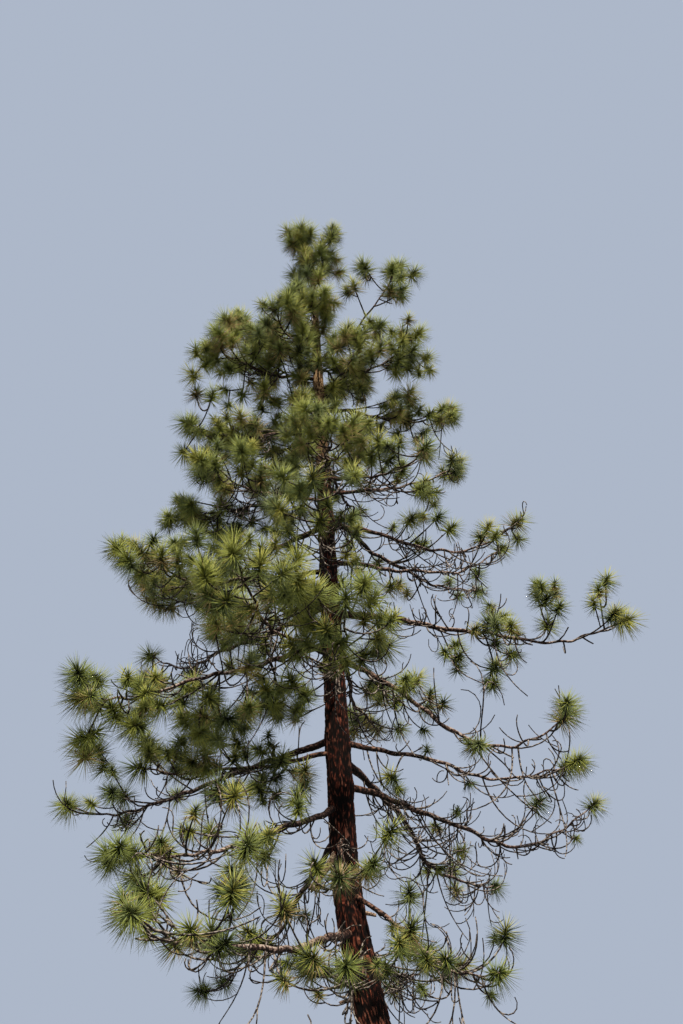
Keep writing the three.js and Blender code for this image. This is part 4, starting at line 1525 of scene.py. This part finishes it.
class PINE_OT_trunk(Operator):
    """Builds the trunk with its plated bark, and the broken limbs on it"""

    bl_idname = "pine.trunk"
    bl_label = "Trunk"

    def execute(self, context):
        settings = context.scene.pine
        depth, height = settings.plate_relief / MM, settings.plate_height / MM
        rings, relief, tone = trunk_rings(growth(settings), depth, height)
        values = {"relief": relief, "tone": tone}
        bark = plated_bark(settings)
        add_piece("trunk_bark", skin(rings), bark, "trunk_bark", ["trunk"], values)
        stubs = joined([skin(stub_rings(stub, STUB_SEED + i)) for i, stub in enumerate(STUBS)])
        bare_wood = limb_bark("weathered_dead_wood", "#37291f", "#6b5647", "#9c8877", flake=0.02)
        add_piece("broken_limbs", stubs, bare_wood, "trunk_bark", ["trunk"], {})
        return {"FINISHED"}


class PINE_OT_limbs(Operator):
    """Builds each bough up to its mass, and the stems that run through the masses"""

    bl_idname = "pine.limbs"
    bl_label = "Boughs and Stems"

    def execute(self, context):
        # Dark, middle and pale bark; the dark one also paints the shade beneath the limbs, the pale
        # one the light on their tops
        colours = ("#120b09", "#46332d", "#998a80")
        bark = limb_bark("flaky_limb_bark", *colours, flake=0.026, near_trunk="#321a12")
        stems, outers = [], []
        for limb in growth(context.scene.pine).limbs:
            sides = BOUGH_SIDES if limb.carried else STEM_SIDES
            t, rings = limb_rings(limb, sides)
            # How far out each point is, in metres, by which the bark's colour changes
            outer = np.repeat(t * limb.reach * MM, sides)
            split = 0
            if limb.carried:
                name = "bough_" + limb.name
                split = int(np.searchsorted(t, BOUGH_SHARE))
                inner = {"outer": outer[: (split + 1) * sides]}
                add_piece(name + "_bark", skin(rings[: split + 1]), bark, "bough_bark", [name], inner)
            stems.append(skin(rings[split:]))
            outers.append(outer[split * sides :])
        outer = {"outer": np.concatenate(outers)}
        add_piece("stems", joined(stems), bark, "bough_bark", FOLIAGE_NODES, outer)
        return {"FINISHED"}


class PINE_OT_twigs(Operator):
    """Grows the leafy twigs and the bare ones that hang below them"""

    bl_idname = "pine.twigs"
    bl_label = "Twigs"

    def execute(self, context):
        settings = context.scene.pine
        grown = growth(settings)
        tree = twig_tree()
        # Dark, middle and pale bark; the pale one also paints the light on the twigs' tops, the dark
        # one the shade beneath
        bark = limb_bark("young_twig_bark", "#0f0a08", "#2f2621", "#8d847c", flake=0.03)
        values = {"Sides": settings.twig_sides, "Bark": bark}
        for name, twigs in [("leafy_twigs", grown.twigs), ("bare_twigs", grown.bare_twigs)]:
            rng = np.random.default_rng(THICKNESS_SEED)
            lines = [line for line, _ in twigs]
            thickness = np.concatenate([radii for _, radii in twigs]) * MM
            thickness *= rng.uniform(*TWIG_THICKNESS_CHANCE, len(thickness))
            grown_piece(name, lines, {"thickness": thickness}, tree, values, "bough_bark")
        return {"FINISHED"}


def dealt_sprays(tufts):
    """Four sprays for each tuft, dealt out among the kinds of needle: in front brighter ones of
    painted light, the more so where more light falls, among duller ones of painted shade, and
    behind older ones darkened by painted shade."""
    rng = np.random.default_rng(DEAL_SEED)
    kinds = [[] for _ in NEEDLE_KINDS]
    shade, bright, low, rear = np.array([kind[2:] for kind in NEEDLE_KINDS]).T
    for tuft in tufts:
        axis = trunk_axis(min(tuft.centre[2], TRUNK_TOP))
        out = np.hypot(*(tuft.centre - axis)[:2]) / tuft.limb.reach
        light = LIGHT_OUT * out + LIGHT_UP * tuft.way[2] + LIGHT_CHANCE * rng.random()
        light = np.clip(light, 0, 1) * mix(SPARSE_LIGHT_SHARE, 1, tuft.limb.tuft_share)
        high = smooth(tuft.centre[2], *LOW_SPRAYS)
        light *= mix(LOW_LIGHT_SHARE, 1, high)
        dull = mix(low, shade, high)
        fronts = [mix(mix(dull, shade, FIRST_SPRAY_SHADE), bright, light), dull]
        for spray, shares in zip(TUFT_SPRAYS, [*fronts, rear, rear]):
            kind = rng.choice(len(kinds), p=shares / shares.sum())
            kinds[kind].append((tuft, spray))
    return kinds


class PINE_OT_needles(Operator):
    """Grows the tufts of needles, one piece for each kind"""

    bl_idname = "pine.needles"
    bl_label = "Needles"

    def execute(self, context):
        settings = context.scene.pine
        tree = needle_tree()
        dealt = dealt_sprays(growth(settings).tufts)
        for index, ((kind, colour, *_), sprays) in enumerate(zip(NEEDLE_KINDS, dealt)):
            lines = [
                tuft.centre + np.outer(spray[:2], tuft.size * tuft.way) for tuft, spray in sprays
            ]
            sizes = np.repeat([tuft.size * spray[4] for tuft, spray in sprays], 2)
            leans = np.array([spray[2:4] for _, spray in sprays]).ravel()
            attributes = {"size": sizes, "cosine": np.cos(np.radians(leans))}
            values = {
                "Spacing": settings.needle_spacing,
                "Length": settings.needle_length,
                "Width": settings.needle_width,
                "Droop": settings.needle_droop,
                "Seed": SEEDS_PER_KIND * index,
                "Wax": needle_wax(kind + "_needle_wax", colour),
            }
            grown_piece("needles_" + kind, lines, attributes, tree, values, "foliage")
        return {"FINISHED"}


class PINE_OT_stage(Operator):
    """Sets the floor, the light and the camera"""

    bl_idname = "pine.stage"
    bl_label = "Stage"

    def execute(self, context):
        settings = context.scene.pine
        scene = context.scene
        rim = FLOOR_RADIUS * bearing(np.arange(FLOOR_SIDES) / FLOOR_SIDES * 360)
        mesh = bpy.data.meshes.new("floor")
        mesh.from_pydata(rim.tolist(), [], [list(range(FLOOR_SIDES))])
        mesh.materials.append(matt_paint("pale_floor_paint", settings.floor_colour))
        add_object("floor", mesh)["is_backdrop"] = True

        scene.world = bpy.data.worlds.new("pale_room")
        scene.world.use_nodes = True
        background = scene.world.node_tree.nodes["Background"]
        background.inputs["Color"].default_value = (*linear("#c6d2e6"), 1)
        background.inputs["Strength"].default_value = 0.74

        key = bpy.data.lights.new("key", "SUN")
        key.energy = settings.light_strength
        key.angle = math.radians(LIGHT_SIZE)
        key.color = linear("#fff4e2")
        lamp = add_object("key", key)
        lamp.rotation_euler = (math.radians(LIGHT_TILT), 0, math.radians(LIGHT_TURN))

        lens = bpy.data.cameras.new("camera")
        lens.lens = LENS
        lens.sensor_width = SENSOR
        lens.clip_end = SEEN_TO
        camera = add_object("camera", lens)
        camera.location = CAMERA_AT * MM
        camera.rotation_euler = (math.radians(90 + CAMERA_PITCH), 0, 0)
        scene.camera = camera
        scene.view_settings.view_transform = "Standard"
        return {"FINISHED"}


class PINE_PT_panel(Panel):
    """The pine's pieces, in the order in which they are built"""

    bl_label = "Pine"
    bl_idname = "PINE_PT_panel"
    bl_space_type = "VIEW_3D"
    bl_region_type = "UI"
    bl_category = "Pine"

    def draw(self, context):
        settings = context.scene.pine
        for operator in OPERATORS:
            self.layout.operator(operator.bl_idname)
        for name in PineSettings.__annotations__:
            self.layout.prop(settings, name)


OPERATORS = [PINE_OT_trunk, PINE_OT_limbs, PINE_OT_twigs, PINE_OT_needles, PINE_OT_stage]
CLASSES = [PineSettings, *OPERATORS, PINE_PT_panel]


def register():
    for cls in CLASSES:
        bpy.utils.register_class(cls)
    bpy.types.Scene.pine = PointerProperty(type=PineSettings)


def unregister():
    del bpy.types.Scene.pine
    for cls in reversed(CLASSES):
        bpy.utils.unregister_class(cls)


def main():
    register()
    bpy.ops.pine.trunk()
    bpy.ops.pine.limbs()
    bpy.ops.pine.twigs()
    bpy.ops.pine.needles()
    bpy.ops.pine.stage()
    corners = {"cad": solids_box, "visual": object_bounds()}
    boxes = {key: [list(corner) for corner in box] for key, box in corners.items()}


if __name__ == "__main__":
    main()
